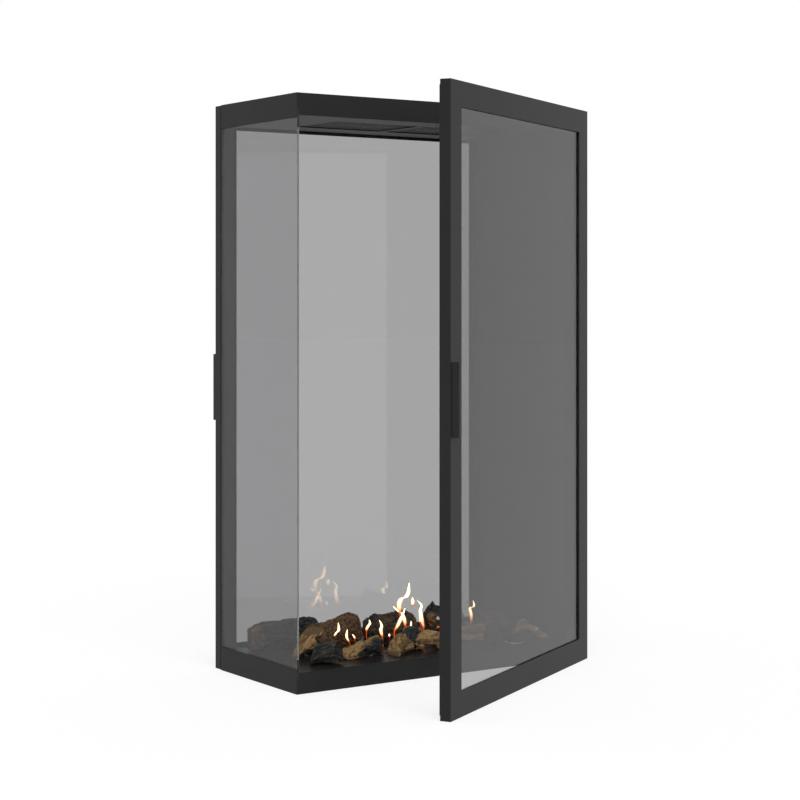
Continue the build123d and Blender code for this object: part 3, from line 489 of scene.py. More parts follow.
def add_object(name, data):
    """Puts a mesh, a lamp or a camera in the scene."""
    added = bpy.data.objects.new(name, data)
    bpy.context.scene.collection.objects.link(added)
    return added


def add_piece(name, mesh, material, body, replaced=()):
    """Puts a mesh in the scene as a piece that rides on a body."""
    mesh.materials.clear()
    mesh.materials.append(material)
    piece = add_object(name, mesh)
    if replaced:
        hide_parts(*replaced)
    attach(piece, body)
    return piece


def mesh_from(name, points, faces, smooth=True):
    """A mesh from points in metres and faces."""
    mesh = bpy.data.meshes.new(name)
    mesh.from_pydata([tuple(p) for p in points], [], faces)
    mesh.polygons.foreach_set("use_smooth", [smooth] * len(mesh.polygons))
    mesh.update()
    return mesh


def ring_faces(first, second, count):
    """Quads between two rings of points, given where each ring starts."""
    return [(first + i, first + (i + 1) % count, second + (i + 1) % count, second + i)
            for i in range(count)]


# Logs

# A spot changes the look of a log round a place, in millimetres in the fireplace's frame.
Spot = namedtuple("Spot", "kind x y z radius")
# A pull drags a log by (dx, dy, dz) at a place, and fades out at its reach. A chop takes off what
# lies beyond a plane at a place, which looks along (nx, ny, nz). Lengths are in millimetres.
Pull = namedtuple("Pull", "x y z reach dx dy dz")
Chop = namedtuple("Chop", "x y z nx ny nz")
# Growth rings on a sawn end are 3 mm apart, so their wave turns by this angle in a millimetre.
RING_TURN = 2.1
# skin is how a log is carved: bark, split or char. soot is how charred it is where no spot says
# otherwise, and torn is how much its ends slant, where a sawn end has next to none.
LogLook = namedtuple("LogLook", "skin soot torn seed spots moves")
log_looks = {
    "left_cross_log": LogLook(
        "char", 1.0, 0.06, 3,
        [Spot("bare", -318, 94, 84, 24), Spot("bare", -321, 81, 66, 24)],
        [Pull(-294, 120, 102, 37, -1, 1, -5), Pull(-245, 108, 98, 58, 1, -1, 7),
         Pull(-215, 84, 107, 41, 2, -1, 2), Pull(-201, 75, 104, 44, 15, -10, 1),
         Pull(-206, 53, 95, 41, 12, -8, -1), Pull(-311, 120, 92, 31, 0, 0, 1),
         Chop(-307, 129, 65, -0.90, 0.44, 0.00)]),
    "rear_left_log": LogLook(
        "bark", 0.0, 0.1, 8,
        [],
        [Pull(-161, 66, 86, 41, -4, 3, 10), Pull(-148, 46, 97, 34, -1, 1, 4),
         Pull(-172, 48, 74, 100, -62, -30, -4), Pull(-155, 71, 79, 51, -7, 5, 8),
         Chop(-91, 40, 99, 0.66, -0.69, 0.30)]),
    "split_left_log": LogLook(
        "split", 0.0, 0.3, 11,
        [Spot("char", -226, -32, 82, 13)],
        [Pull(-220, 3, 107, 34, 14, -9, -17), Pull(-286, 2, 72, 44, 9, -6, 15),
         Pull(-296, 5, 62, 41, 10, -7, -10), Pull(-275, -11, 74, 44, 11, -7, 14),
         Pull(-247, -28, 43, 41, 0, 0, 16), Chop(-255, -12, 86, -0.31, -0.48, 0.82),
         Chop(-220, -36, 68, 0.44, -0.90, 0.00)]),
    "front_dark_log": LogLook(
        "split", 0.8, 0.2, 21,
        [Spot("bare", -250, -122, 87, 9)],
        [Pull(-290, -104, 49, 37, -4, 3, 2), Pull(-233, -124, 48, 41, 4, -3, 4),
         Chop(-272, -92, 74, -0.75, -0.06, 0.66), Chop(-252, -106, 86, -0.42, -0.49, 0.76),
         Chop(-233, -119, 71, 0.36, -0.84, 0.40), Chop(-262, -117, 84, -0.30, -0.86, 0.41)]),
    "front_tan_log": LogLook(
        "split", 0.0, 0.2, 34,
        [Spot("char", -166, -112, 50, 15), Spot("char", -150, -110, 54, 20),
         Spot("char", -122, -98, 62, 24)],
        [Pull(-181, -85, 71, 37, -5, 4, 4), Pull(-168, -97, 75, 41, 0, 0, 7),
         Pull(-123, -65, 68, 44, 3, -2, 11), Pull(-197, -78, 61, 44, -11, 7, 9),
         Pull(-197, -81, 50, 34, -2, 1, -9), Pull(-95, -90, 67, 34, -7, 4, 0),
         Chop(-195, -50, 54, -0.94, 0.32, -0.11), Chop(-158, -75, 80, -0.47, -0.36, 0.81),
         Chop(-115, -104, 67, 0.51, -0.86, 0.02)]),
    "forked_log": LogLook(
        "split", 0.0, 0.15, 45,
        [Spot("char", -28, -80, 90, 28), Spot("char", -6, -78, 74, 24)],
        [Pull(-122, -96, 56, 34, -2, 1, -8), Pull(-96, -104, 84, 24, 3, -2, 5),
         Pull(-70, -91, 84, 24, 4, -3, 8), Pull(-106, -120, 43, 34, 9, -6, -3),
         Pull(-16, -101, 48, 24, -11, 7, 3), Chop(-68, -67, 78, -0.71, -0.09, 0.70)]),
    "rear_middle_log": LogLook(
        "bark", 0.6, 0.25, 56,
        [Spot("char", -31, 78, 98, 22), Spot("char", 40, 61, 92, 20)],
        [Pull(73, 50, 58, 41, 7, -4, 4), Pull(-38, 91, 96, 27, 2, -2, -2),
         Chop(-27, 115, 70, -0.93, 0.38, 0.02), Chop(-21, 110, 91, -0.75, 0.10, 0.65),
         Chop(47, 64, 99, -0.08, -0.26, 0.96)]),
    "charred_log": LogLook(
        "char", 1.0, 0.15, 67,
        [Spot("bare", 93, 24, 84, 16), Spot("ash", 101, 7, 88, 6)],
        [Pull(101, 51, 118, 32, 13, -9, 5), Pull(117, 57, 102, 31, 0, 0, 9),
         Pull(96, 47, 107, 24, 0, 0, 3), Pull(143, 54, 97, 31, 0, 0, 8),
         Chop(101, 61, 97, -0.90, 0.29, 0.33)]),
    "arched_log": LogLook(
        "split", 0.0, 0.3, 72,
        [Spot("char", -23, -99, 69, 10)],
        [Pull(5, -76, 70, 37, -6, 4, 7), Pull(13, -98, 74, 44, -2, 1, 9),
         Pull(35, -105, 72, 44, 0, 0, 7), Pull(36, -98, 48, 44, -1, 1, -14),
         Pull(52, -104, 43, 37, -1, 1, -10), Chop(10, -90, 79, -0.39, -0.43, 0.81)]),
    "split_block_log": LogLook(
        "split", 0.0, 0.12, 81,
        [],
        [Chop(143, -64, 84, -0.21, -0.27, 0.94), Chop(163, -78, 63, 0.66, -0.76, 0.00)]),
    "short_dark_log": LogLook(
        "char", 1.0, 0.3, 90,
        [],
        [Chop(154, -93, 75, -0.79, -0.07, 0.61), Chop(179, -109, 72, 0.36, -0.85, 0.38)]),
    "rear_right_log": LogLook(
        "bark", 0.7, 0.3, 97,
        [Spot("bare", 231, 2, 68, 13), Spot("bare", 268, -14, 69, 14)],
        [Chop(234, 29, 96, -0.34, -0.28, 0.90), Chop(281, -2, 83, 0.45, -0.72, 0.53)]),
    "curved_end_log": LogLook(
        "split", 0.0, 0.3, 104,
        [Spot("ash", 291, -104, 68, 8)],
        [Pull(258, -73, 85, 31, 7, -5, 2), Pull(307, -102, 51, 31, 8, -5, -6),
         Pull(297, -109, 43, 27, 7, -5, -5), Pull(268, -88, 49, 31, 1, -1, 10),
         Chop(292, -93, 67, 0.19, -0.64, 0.75)]),
}


def log_frame(mesh):
    """Matrix from a log's own frame, with X along it, to the fireplace's frame."""
    points = np.array([v.co for v in mesh.vertices])
    centre = points.mean(axis=0)
    along = Vector(np.linalg.svd(points - centre, full_matrices=False)[2][0])
    if along.x < 0:
        along.negate()
    up = Vector((0, 0, 1)) - along * along.z
    up.normalize()
    across = up.cross(along)
    turn = Matrix((along, across, up)).transposed().to_4x4()
    return Matrix.Translation(Vector(centre)) @ turn


def smooth_step(value):
    """0 below 0, 1 above 1, and a soft rise between."""
    value = min(1.0, max(0.0, value))
    return value * value * (3 - 2 * value)


def along_grain(p, length, width, warp=0.0):
    """Where noise is read for a pattern whose marks are length by width, in millimetres."""
    return Vector((p.x / length, (p.y + warp) / width, (p.z - warp) / width))


def bark_furrow(p):
    """Depth share of the furrows between bark plates, which run along the log."""
    # Furrows are about 7 mm apart, and cross cracks part the plates every 10 mm or so.
    warp = noise.noise(p / 9) * 2
    broad = smooth_step(1 - 4.5 * abs(noise.noise(along_grain(p, 24, 5, warp))))
    cross = smooth_step(1 - 7 * abs(noise.noise(along_grain(p, 8, 13))))
    return max(broad, 0.6 * cross)


def split_step(p):
    """Depth share of the long steps, and of the tears 4 mm apart, where wood was split."""
    long_step = noise.noise(along_grain(p, 60, 6))
    tear = noise.noise(along_grain(p, 38, 2.6))
    return 0.6 * smooth_step(0.5 + 2.2 * long_step) + 0.4 * smooth_step(1 - 4 * abs(tear))


def char_scales(p):
    """Depth shares of the cracks between char scales, and of the scales themselves."""
    # Scales are about 15 mm by 9 mm, and are split again into scales of less than half that size.
    wobble = noise.noise(p / 6) * 3 + noise.noise(p / 2.5)
    crack, sunk = 0.0, 0.0
    for size, width, weight in ((1.0, 0.16, 1.0), (0.45, 0.2, 0.45)):
        near, cells = noise.voronoi(along_grain(p, 15, 9, wobble) / size)
        crack = max(crack, weight * smooth_step(1 - (near[1] - near[0]) / width))
        sunk += 0.7 * weight * abs(noise.cell(cells[0] * 5.3))
    return max(crack, 0.3 * smooth_step(0.5 + 1.2 * noise.noise(p / 3))), sunk


def moved_by_hand(place, moves):
    """Where a point of a log, in millimetres, goes by the pulls and chops."""
    for move in moves:
        away = place - Vector(move[:3])
        if isinstance(move, Pull):
            near = max(0.0, 1 - away.length_squared / move.reach ** 2)
            place = place + Vector(move[4:]) * near ** 2
        else:
            out = Vector(move[3:])
            place = place - out * max(0.0, away.dot(out))
    return place


def hewing(look):
    """Flat faces round a log as (angle, reach as a share of the radius, lean), and slants of its
    two ends as (end, angle, slant)."""
    rng = random.Random(look.seed)
    # Bark is hewn into more and shallower faces than split or charred wood.
    count, low, high = (7, 0.94, 1.0) if look.skin == "bark" else (5, 0.84, 0.97)
    first = rng.uniform(0, 2 * math.pi)
    faces = [(first + 2 * math.pi * (i + rng.uniform(-0.28, 0.28)) / count, rng.uniform(low, high),
              rng.uniform(-0.2, 0.2)) for i in range(count)]
    # A face that looks down stays low, so that the log still rests on what carries it.
    faces = [(angle, max(share, 1.02) if math.sin(angle) < -0.4 else share, lean)
             for angle, share, lean in faces]
    slants = []
    for end in (0, 1):
        turn = rng.uniform(0, 2 * math.pi)
        slants += [(end, turn, look.torn * rng.uniform(0.8, 1.2)),
                   (end, turn + rng.uniform(2.4, 3.9), look.torn * rng.uniform(0.3, 0.9))]
    return faces, slants


def sections(mesh, ends, steps=10):
    """Middle (y, z) and radius of a log at even steps along it, leaving out stubs and branches."""
    points = np.array([v.co for v in mesh.vertices])
    shares = (points[:, 0] - ends[0]) / (ends[1] - ends[0]) * steps
    found = []
    for step in range(steps + 1):
        near = points[np.abs(shares - step) < 0.6][:, 1:]
        middle = (np.percentile(near, 8, axis=0) + np.percentile(near, 92, axis=0)) / 2
        found.append((*middle, np.percentile(np.hypot(*(near - middle).T), 70)))
    return np.array(found)


def hew(co, ends, found, faces, slants):
    """Moves a point in to the flat faces and slanted ends that axe and saw left."""
    # It stays just below 1, so that there is always a next section to blend with.
    share = min(0.9999, max(0.0, (co.x - ends[0]) / (ends[1] - ends[0])))
    step = share * (len(found) - 1)
    y, z, radius = found[int(step)] * (1 - step % 1) + found[int(step) + 1] * (step % 1)
    across = Vector((0, co.y - y, co.z - z))
    for angle, reach, lean in faces:
        out = Vector((0, math.cos(angle), math.sin(angle)))
        over = across.dot(out) - radius * reach * (1 + lean * (share - 0.5))
        # Farther out than this it is a branch, which stays.
        if 0 < over < 0.55 * radius:
            across -= out * over
    place = Vector((co.x, y + across.y, z + across.z))
    for end, angle, slant in slants:
        side = (-1, 1)[end]
        lean = across.y * math.cos(angle) + across.z * math.sin(angle)
        limit = ends[end] - side * slant * (0.3 * radius - lean)
        if side * (place.x - limit) > 0:
            place.x = limit
    return place


def even_mesh(log, face_size, rounds):
    """Gives a log even faces of a size, worn by rounds of smoothing, and returns its mesh."""
    fine = log.modifiers.new("even_faces", "REMESH")
    fine.mode = "VOXEL"
    fine.voxel_size = face_size
    worn = log.modifiers.new("worn_edges", "SMOOTH")
    worn.factor = 0.5
    worn.iterations = rounds
    bpy.context.view_layer.update()
    graph = bpy.context.evaluated_depsgraph_get()
    mesh = bpy.data.meshes.new_from_object(log.evaluated_get(graph))
    log.modifiers.clear()
    log.data = mesh
    return mesh


def above_hearth(co, place):
    """A point of a log, lifted to the hearth plate where it would be in it."""
    below = hearth_top - (place @ co).z
    return co + place.to_3x3().inverted() @ Vector((0, 0, max(0.0, below)))


def carve_log(name, look, settings, material):
    """Copies a CAD log, shapes it by pulls, chops and axe, and carves its surface."""
    place = log_frame(nodes[name].data)
    mesh = nodes[name].data.copy()
    mesh.transform(place.inverted())
    log = add_piece(name.replace("_log", "_burnt_log"), mesh, material, "casing")
    log.matrix_world = place
    hew_mesh(even_mesh(log, 2 * settings.fineness, 1), place, look)
    carved = even_mesh(log, settings.fineness, 2)
    masks = carve_mesh(carved, place, look, settings)
    for mask, values in masks.items():
        carved.attributes.new(mask, "FLOAT", "POINT").data.foreach_set("value", values)
    carved.materials.clear()
    carved.materials.append(material)
    carved.polygons.foreach_set("use_smooth", [True] * len(carved.polygons))
    carved.update()
    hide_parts(name)


def hew_mesh(mesh, place, look):
    """Gives a log its main form."""
    back = place.inverted()
    for point in mesh.vertices:
        point.co = back @ (moved_by_hand(place @ point.co / MM, look.moves) * MM)
    ends = [outer(v.co.x for v in mesh.vertices) for outer in (min, max)]
    found = sections(mesh, ends)
    faces, slants = hewing(look)
    for point in mesh.vertices:
        point.co = above_hearth(hew(point.co, ends, found, faces, slants), place)
    mesh.update()


def carve_mesh(mesh, place, look, settings):
    """Carves a log's surface, and returns the masks that its paint follows."""
    ends = [outer(v.co.x for v in mesh.vertices) for outer in (min, max)]
    # Each log has its own stretch of the noise.
    shift = Vector((look.seed * 31.7, look.seed * 17.3, look.seed * 7.9))
    sawn = 1.0 if look.torn < 0.2 else 0.0
    masks = {name: [] for name in MASKS}
    moved = []
    for point in mesh.vertices:
        here = place @ point.co
        p = point.co / MM + shift
        # A sawn end faces along the log, and lies within about 10 mm of its tip.
        end = sawn * smooth_step((abs(point.normal.x) - 0.55) / 0.2)
        end *= smooth_step(1.5 - min(point.co.x - ends[0], ends[1] - point.co.x) / (10 * MM))
        # Char has a ragged edge, and is patchy on a log that is only partly charred.
        blur = 0.55 * noise.noise(p / 8) + 0.3 * noise.noise(p / 2.5)
        uneven = blur if 0 < look.soot < 1 else 0.0
        char, ash = min(1.0, max(0.0, look.soot + 0.6 * uneven)), 0.0
        for spot in look.spots:
            far = (here / MM - Vector((spot.x, spot.y, spot.z))).length
            inside = smooth_step(2.2 * (1 - far / spot.radius) + 0.5 + blur)
            if spot.kind == "char":
                char = max(char, inside)
            elif spot.kind == "bare":
                char = min(char, 1 - inside)
            else:
                ash = max(ash, inside)
        wood = bark_furrow(p) if look.skin == "bark" else split_step(p)
        depth = settings.furrow if look.skin == "bark" else settings.splinter
        rings = 0.25 + 0.25 * math.sin(math.hypot(point.co.y, point.co.z) / MM * RING_TURN)
        crack, sunk = char_scales(p)
        # A split log that is charred nearly all over keeps its steps, with shallow cracks.
        cracked = char if look.skin == "char" or look.soot < 0.8 else 0.3 * char
        cut = (wood * depth * (1 - end) + rings * end * 1.2 * MM) * (1 - cracked)
        cut += (crack + sunk) * settings.crack * cracked
        dents = 4.5 * abs(noise.noise(p / 12)) + 2 * smooth_step(0.5 + 0.9 * noise.noise(p / 19))
        cut += dents * (1 - end) * MM
        # Where the log stands on the hearth it stays as it is.
        cut = (cut - settings.swell) * smooth_step((here.z - hearth_top) / (6 * MM))
        moved.append(above_hearth(point.co - point.normal * cut, place))
        # The groove mask is the carved depth, which the paint darkens as painted shade.
        masks["groove"].append(wood * (1 - end) * (1 - cracked) + crack * cracked)
        masks["char"].append(char)
        masks["end"].append(end)
        masks["ash"].append(ash)
    mesh.vertices.foreach_set("co", [c for co in moved for c in co])
    return masks


# Flames

# Each flame is its greatest width, and the points (x, z) that it follows upwards, in millimetres.
Flame = namedtuple("Flame", "width points")
# A flame whose foot is lower than this is drawn down to the burner.
ROOTED_BELOW = 100
# A flame that is wider than this, and whose foot is lower than this, has a lamp.
LAMP_WIDTH, LAMP_BELOW = 9, 80
flames = [
    Flame(7.2, [(-173, 70), (-168, 82), (-161, 88), (-162, 104)]),
    Flame(6.4, [(-134, 59), (-140, 69), (-141, 78), (-139, 88)]),
    Flame(4.8, [(-120, 65), (-124, 73), (-127, 76)]),
    Flame(8.0, [(-91, 78), (-87, 89), (-82, 95), (-84, 103)]),
    Flame(8.8, [(-50, 61), (-54, 78), (-52, 88), (-58, 100)]),
    Flame(4.8, [(-32, 61), (-32, 68)]),
    Flame(13.6, [(-3, 104), (-7, 125), (-2, 140), (10, 143), (17, 152), (19, 165), (20, 174)]),
    Flame(10.4, [(10, 78), (3, 104), (-12, 117), (-23, 127)]),
    Flame(10.4, [(-19, 70), (-10, 84), (2, 105), (9, 120)]),
    Flame(9.6, [(28, 122), (29, 131), (28, 141)]),
    Flame(10.4, [(58, 70), (53, 90), (49, 110), (52, 122), (40, 134)]),
    Flame(5.6, [(49, 81), (47, 110)]),
    Flame(4.8, [(24, 76), (25, 90)]),
    Flame(9.6, [(184, 71), (184, 91), (181, 104), (192, 108), (189, 122)]),
]


def flame_line(points, steps=7):
    """A smooth line through the flame's points, as (x, z) places."""
    line = []
    for i in range(len(points) - 1):
        p0, p1, p2, p3 = (Vector(points[min(max(k, 0), len(points) - 1)])
                          for k in range(i - 1, i + 3))
        for step in range(steps):
            t = step / steps
            line.append(0.5 * (2 * p1 + (p2 - p0) * t + (2 * p0 - 5 * p1 + 4 * p2 - p3) * t * t
                               + (3 * p1 - p0 - 3 * p2 + p3) * t ** 3))
    return line + [Vector(points[-1])]


def flame_mesh(name, swell):
    """All flames as tapered tongues. A low flame gets a thin root down to the burner's slot."""
    points, faces, heights = [], [], []
    sides = 12
    for flame in flames:
        (foot, low), (_, high) = flame.points[0], flame.points[-1]
        rooted = low < ROOTED_BELOW
        root = [(foot * 0.97, lid_top / MM - 1)] if rooted else []
        line = flame_line(root + flame.points)
        first, last = len(points), len(line) - 1
        for i, place in enumerate(line):
            # It is widest below its middle, thin in its root, and ends in a point.
            rise = (place.y - low) / (high - low)
            body = math.sin(math.pi * min(1, max(0.0, 0.12 + 0.88 * rise)) ** 0.9)
            wide = flame.width / 2 * max(body, 0.0) ** 0.85 * swell
            if rise < 0.05 and rooted:
                wide = flame.width / 2 * (0.12 + 0.2 * max(0.0, 1 + rise / 0.8)) * swell
            wide = max(wide, 0.25 * swell) if i < last else 0.15
            for k in range(sides):
                turn = 2 * math.pi * k / sides
                deep = 0.7 * wide * math.sin(turn)
                points.append(Vector((place.x + wide * math.cos(turn), deep, place.y)) * MM)
                heights.append(max(0.0, min(1.0, rise)))
            if i:
                faces += ring_faces(first + (i - 1) * sides, first + i * sides, sides)
        faces.append(tuple(range(first + sides - 1, first - 1, -1)))
        faces.append(tuple(range(first + last * sides, first + (last + 1) * sides)))
    mesh = mesh_from(name, points, faces)
    mesh.attributes.new("height", "FLOAT", "POINT").data.foreach_set("value", heights)
    return mesh


def chip_mesh(name, places, rng):
    """Small broken chips, each a rough ball on its (x, y, z, size) in millimetres."""
    points, faces = [], []
    rings, sides = 4, 7
    for x, y, z, size in places:
        first = len(points)
        for ring in range(rings):
            tall = math.pi * (ring + 0.5) / rings
            for k in range(sides):
                turn = 2 * math.pi * k / sides + ring * 0.4
                reach = size / 2 * rng.uniform(0.75, 1.1)
                points.append(Vector((x + reach * math.sin(tall) * math.cos(turn),
                                      y + reach * math.sin(tall) * math.sin(turn) * 0.8,
                                      z + size / 2 * (0.7 * math.cos(tall) + 0.7))) * MM)
            if ring:
                faces += ring_faces(first + ring * sides, first + (ring - 1) * sides, sides)
        faces.append(tuple(range(first, first + sides)))
        last = first + (rings - 1) * sides
        faces.append(tuple(range(last + sides - 1, last - 1, -1)))
    return mesh_from(name, points, faces, smooth=False)


# Screws

# A point this near a screw's axis is the centre of a flat end, and gives no ring.
SCREW_CENTRE = 0.2 * MM


def islands(mesh):
    """The separate solids of a mesh, each as its faces."""
    parent = list(range(len(mesh.vertices)))

    def root(i):
        while parent[i] != i:
            parent[i] = parent[parent[i]]
            i = parent[i]
        return i

    first_at = {}
    for vertex in mesh.vertices:
        key = tuple(round(c, 6) for c in vertex.co)
        parent[vertex.index] = root(first_at.setdefault(key, vertex.index))
    for face in mesh.polygons:
        start = root(face.vertices[0])
        for other in face.vertices[1:]:
            parent[root(other)] = start
    groups = {}
    for face in mesh.polygons:
        groups.setdefault(root(face.vertices[0]), []).append(face)
    return list(groups.values())


def screw_profile(mesh, island):
    """Top centre, outward axis, and the (depth, radius) steps of one screw."""
    flats = {}
    for face in island:
        key = tuple(round(c, 2) for c in face.normal)
        flats.setdefault(key, []).append(face)
    top = max(flats.values(), key=lambda group: sum(face.area for face in group))
    area = sum(face.area for face in top)
    centre = sum((face.center * face.area for face in top), Vector()) / area
    axis = top[0].normal.copy()
    steps = {}
    for index in {i for face in island for i in face.vertices}:
        away = mesh.vertices[index].co - centre
        depth = round(-away.dot(axis), 5)
        steps[depth] = max(steps.get(depth, 0.0), (away + axis * depth).length)
    return centre, axis, sorted(steps.items())


def socket_screw(points, faces, centre, axis, steps):
    """Adds a screw with a hexagon socket in its flat head."""
    sides = 24
    sixth = math.pi / 3
    across = axis.orthogonal().normalized()
    over = axis.cross(across)
    head = steps[0][1]
    key_half = head * 0.42
    socket_depth = min(head * 0.75, steps[-1][0] * 0.5)

    def ring(depth, radius, hexagon=False):
        start = len(points)
        for k in range(sides):
            turn = 2 * math.pi * k / sides
            reach = radius
            if hexagon:
                reach = radius / math.cos(turn % sixth - sixth / 2)
            points.append(centre - axis * depth + across * (reach * math.cos(turn))
                          + over * (reach * math.sin(turn)))
        return start

    rings = [ring(socket_depth, key_half * 0.98, True), ring(0.0, key_half, True)]
    rings += [ring(depth, radius) for depth, radius in steps if radius > SCREW_CENTRE]
    faces.append(tuple(range(rings[0], rings[0] + sides)))
    for low, high in zip(rings, rings[1:]):
        faces += ring_faces(low, high, sides)
    faces.append(tuple(range(rings[-1] + sides - 1, rings[-1] - 1, -1)))


def screws_like(name, material, body):
    """Replaces a node of plain screws by screws with a socket, each where it was."""
    mesh = nodes[name].data
    points, faces = [], []
    for island in islands(mesh):
        socket_screw(points, faces, *screw_profile(mesh, island))
    screws = mesh_from(name, points, faces, smooth=False)
    add_piece(name.replace("_screws", "_socket_screws"), screws, material, body,
              (name,))


# Operators


class FIREPLACE_OT_coat_steel(bpy.types.Operator):
    """Coat the steel of the casing and the doors"""

    bl_idname = "fireplace.coat_steel"
    bl_label = "Coat Steel"

    def execute(self, context):
        settings = context.scene.fireplace_steel
        finish_slot("coated_steel",
                    make_material("powder_coated_steel", powder_coated_steel, settings))
        return {"FINISHED"}


class FIREPLACE_OT_enamel_hearth(bpy.types.Operator):
    """Enamel the hearth plate"""

    bl_idname = "fireplace.enamel_hearth"
    bl_label = "Enamel Hearth"

    def execute(self, context):
        settings = context.scene.fireplace_hearth
        finish_slot("hearth_enamel",
                    make_material("glossy_black_enamel", glossy_black_enamel, settings))
        return {"FINISHED"}


class FIREPLACE_OT_glaze_panes(bpy.types.Operator):
    """Give the three panes their grey glass"""

    bl_idname = "fireplace.glaze_panes"
    bl_label = "Glaze Panes"

    def execute(self, context):
        glass = context.scene.fireplace_glass
        finish_slot("tinted_glass", make_material(
            "grey_ceramic_glass", grey_ceramic_glass, glass.tint, glass.coat, glass.wave))
        finish_node(nodes["side_glass"], make_material(
            "pale_grey_ceramic_glass", grey_ceramic_glass, glass.side_tint, glass.side_coat,
            glass.wave))
        return {"FINISHED"}


class FIREPLACE_OT_finish_burner(bpy.types.Operator):
    """Brush and soot the burner, and finish the filler and the damper"""

    bl_idname = "fireplace.finish_burner"
    bl_label = "Finish Burner"

    def execute(self, context):
        steel = brushed_stainless_steel
        finish_slot("stainless_steel",
                    make_material("brushed_stainless_steel", steel, "#b9b5af", "#8f8b86"))
        sooted = make_material("sooted_stainless_steel", steel, "#5a5550", "#3a3632", SOOT_REACH)
        for name in ("burner_lid", "burner_tank", "flame_damper", "damper_guides"):
            finish_node(nodes[name], sooted)
        # Only the filler's rim shines: it is painted pale, as a painted highlight, and its cap is
        # painted dark, as painted shade.
        finish_node(nodes["filler_neck"],
                    make_material("painted_highlight_stainless_steel", steel, "#f4f2ef", "#e0ddd9"))
        finish_node(nodes["filler_cap"],
                    make_material("painted_shade_stainless_steel", steel, "#4d4a47", "#353331"))
        return {"FINISHED"}


class FIREPLACE_OT_finish_hinges(bpy.types.Operator):
    """Finish the turned pins and washers of the hinges"""

    bl_idname = "fireplace.finish_hinges"
    bl_label = "Finish Hinges"

    def execute(self, context):
        finish_node(nodes["hinge_pins"], make_material(
            "turned_stainless_steel", turned_metal, "#a8a49e", "#77736e", 0.35))
        finish_slot("brass", make_material(
            "turned_brass", turned_metal, "#c7a25c", "#8a6a34", 0.3))
        return {"FINISHED"}


class FIREPLACE_OT_weave_seals(bpy.types.Operator):
    """Give the tapes, rope seals and wool their fibres"""

    bl_idname = "fireplace.weave_seals"
    bl_label = "Weave Seals"

    def execute(self, context):
        finish_slot("black_fibre", make_material(
            "braided_glass_fibre", braided_fibre, "#3a3938", "#1b1b1a", 1.6 * MM))
        finish_slot("white_fibre", make_material(
            "felted_ceramic_wool", braided_fibre, "#dedbd3", "#b3aea3", 2.5 * MM))
        return {"FINISHED"}


class FIREPLACE_OT_drive_screws(bpy.types.Operator):
    """Replace the plain screws by socket screws"""

    bl_idname = "fireplace.drive_screws"
    bl_label = "Drive Screws"

    def execute(self, context):
        material = make_material("black_oxide_steel", turned_metal, "#2b2b2d", "#131314", 0.4)
        for name, body in (("flush_screws", "casing"), ("spacer_screws", "casing"),
                           ("front_door_screws", "front_door"), ("back_door_screws", "back_door")):
            screws_like(name, material, body)
        return {"FINISHED"}


class FIREPLACE_OT_lay_logs(bpy.types.Operator):
    """Carve and paint the ceramic logs"""

    bl_idname = "fireplace.lay_logs"
    bl_label = "Lay Logs"

    def execute(self, context):
        materials = {slot: make_material(slot, fired_ceramic, paint)
                     for slot, paint in ceramic_paints.items()}
        for name, look in log_looks.items():
            carve_log(name, look, context.scene.fireplace_logs, materials[slot_of[name]])
        return {"FINISHED"}


class FIREPLACE_OT_light_flames(bpy.types.Operator):
    """Light the flames over the burner's slot"""

    bl_idname = "fireplace.light_flames"
    bl_label = "Light Flames"

    def execute(self, context):
        settings = context.scene.fireplace_flames
        # Each layer's swell, share of the full brightness and cover.
        for name, gas, swell, share, cover in (("flame_cores", "white_hot_gas", 0.62, 1.0, 1.0),
                                               ("flame_edges", "yellow_hot_gas", 1.0, 0.22, 0.35)):
            piece = add_piece(name, flame_mesh(name, swell),
                              make_material(gas, burning_gas, settings, share, cover), "casing")
            # Flames this small would only add specks of noise, so lamps in them light the logs.
            piece.visible_diffuse = False
            piece.visible_shadow = False
        for flame in flames:
            if flame.width > LAMP_WIDTH and flame.points[0][1] < LAMP_BELOW:
                self.add_glow(settings, flame)
        return {"FINISHED"}

    def add_glow(self, settings, flame):
        """A small warm lamp in the lower half of a flame."""
        lamp = bpy.data.lights.new("flame_glow", "POINT")
        lamp.color = linear("#ff9a4a")
        lamp.energy = settings.glow
        lamp.shadow_soft_size = 12 * MM
        glow = add_object("flame_glow", lamp)
        x, z = flame.points[1]
        glow.location = Vector((x, 0, z)) * MM
        # The flame itself is what is seen, so the lamp isn't, also not through glass or mirrored.
        glow.visible_camera = False
        glow.visible_glossy = False
        glow.visible_transmission = False


class FIREPLACE_OT_scatter_embers(bpy.types.Operator):
    """Scatter glowing chips beside the burner's slot"""

    bl_idname = "fireplace.scatter_embers"
    bl_label = "Scatter Embers"

    def execute(self, context):
        settings = context.scene.fireplace_flames
        rng = random.Random(5)
        # They sink 0.4 mm into the lid, so that none stands on its lowest edge.
        low = lid_top / MM - 0.4
        places = [(rng.uniform(-165, 165), rng.choice((-1, 1)) * rng.uniform(14, 24), low,
                   rng.uniform(4, 8)) for _ in range(settings.embers)]
        # One glows in a crack of the charred log.
        places.append((103, 9, 66, 7))
        chips = add_piece("glowing_chips", chip_mesh("glowing_chips", places, rng),
                          make_material("glowing_char", glowing_char, settings), "casing")
        chips.visible_diffuse = False
        return {"FINISHED"}


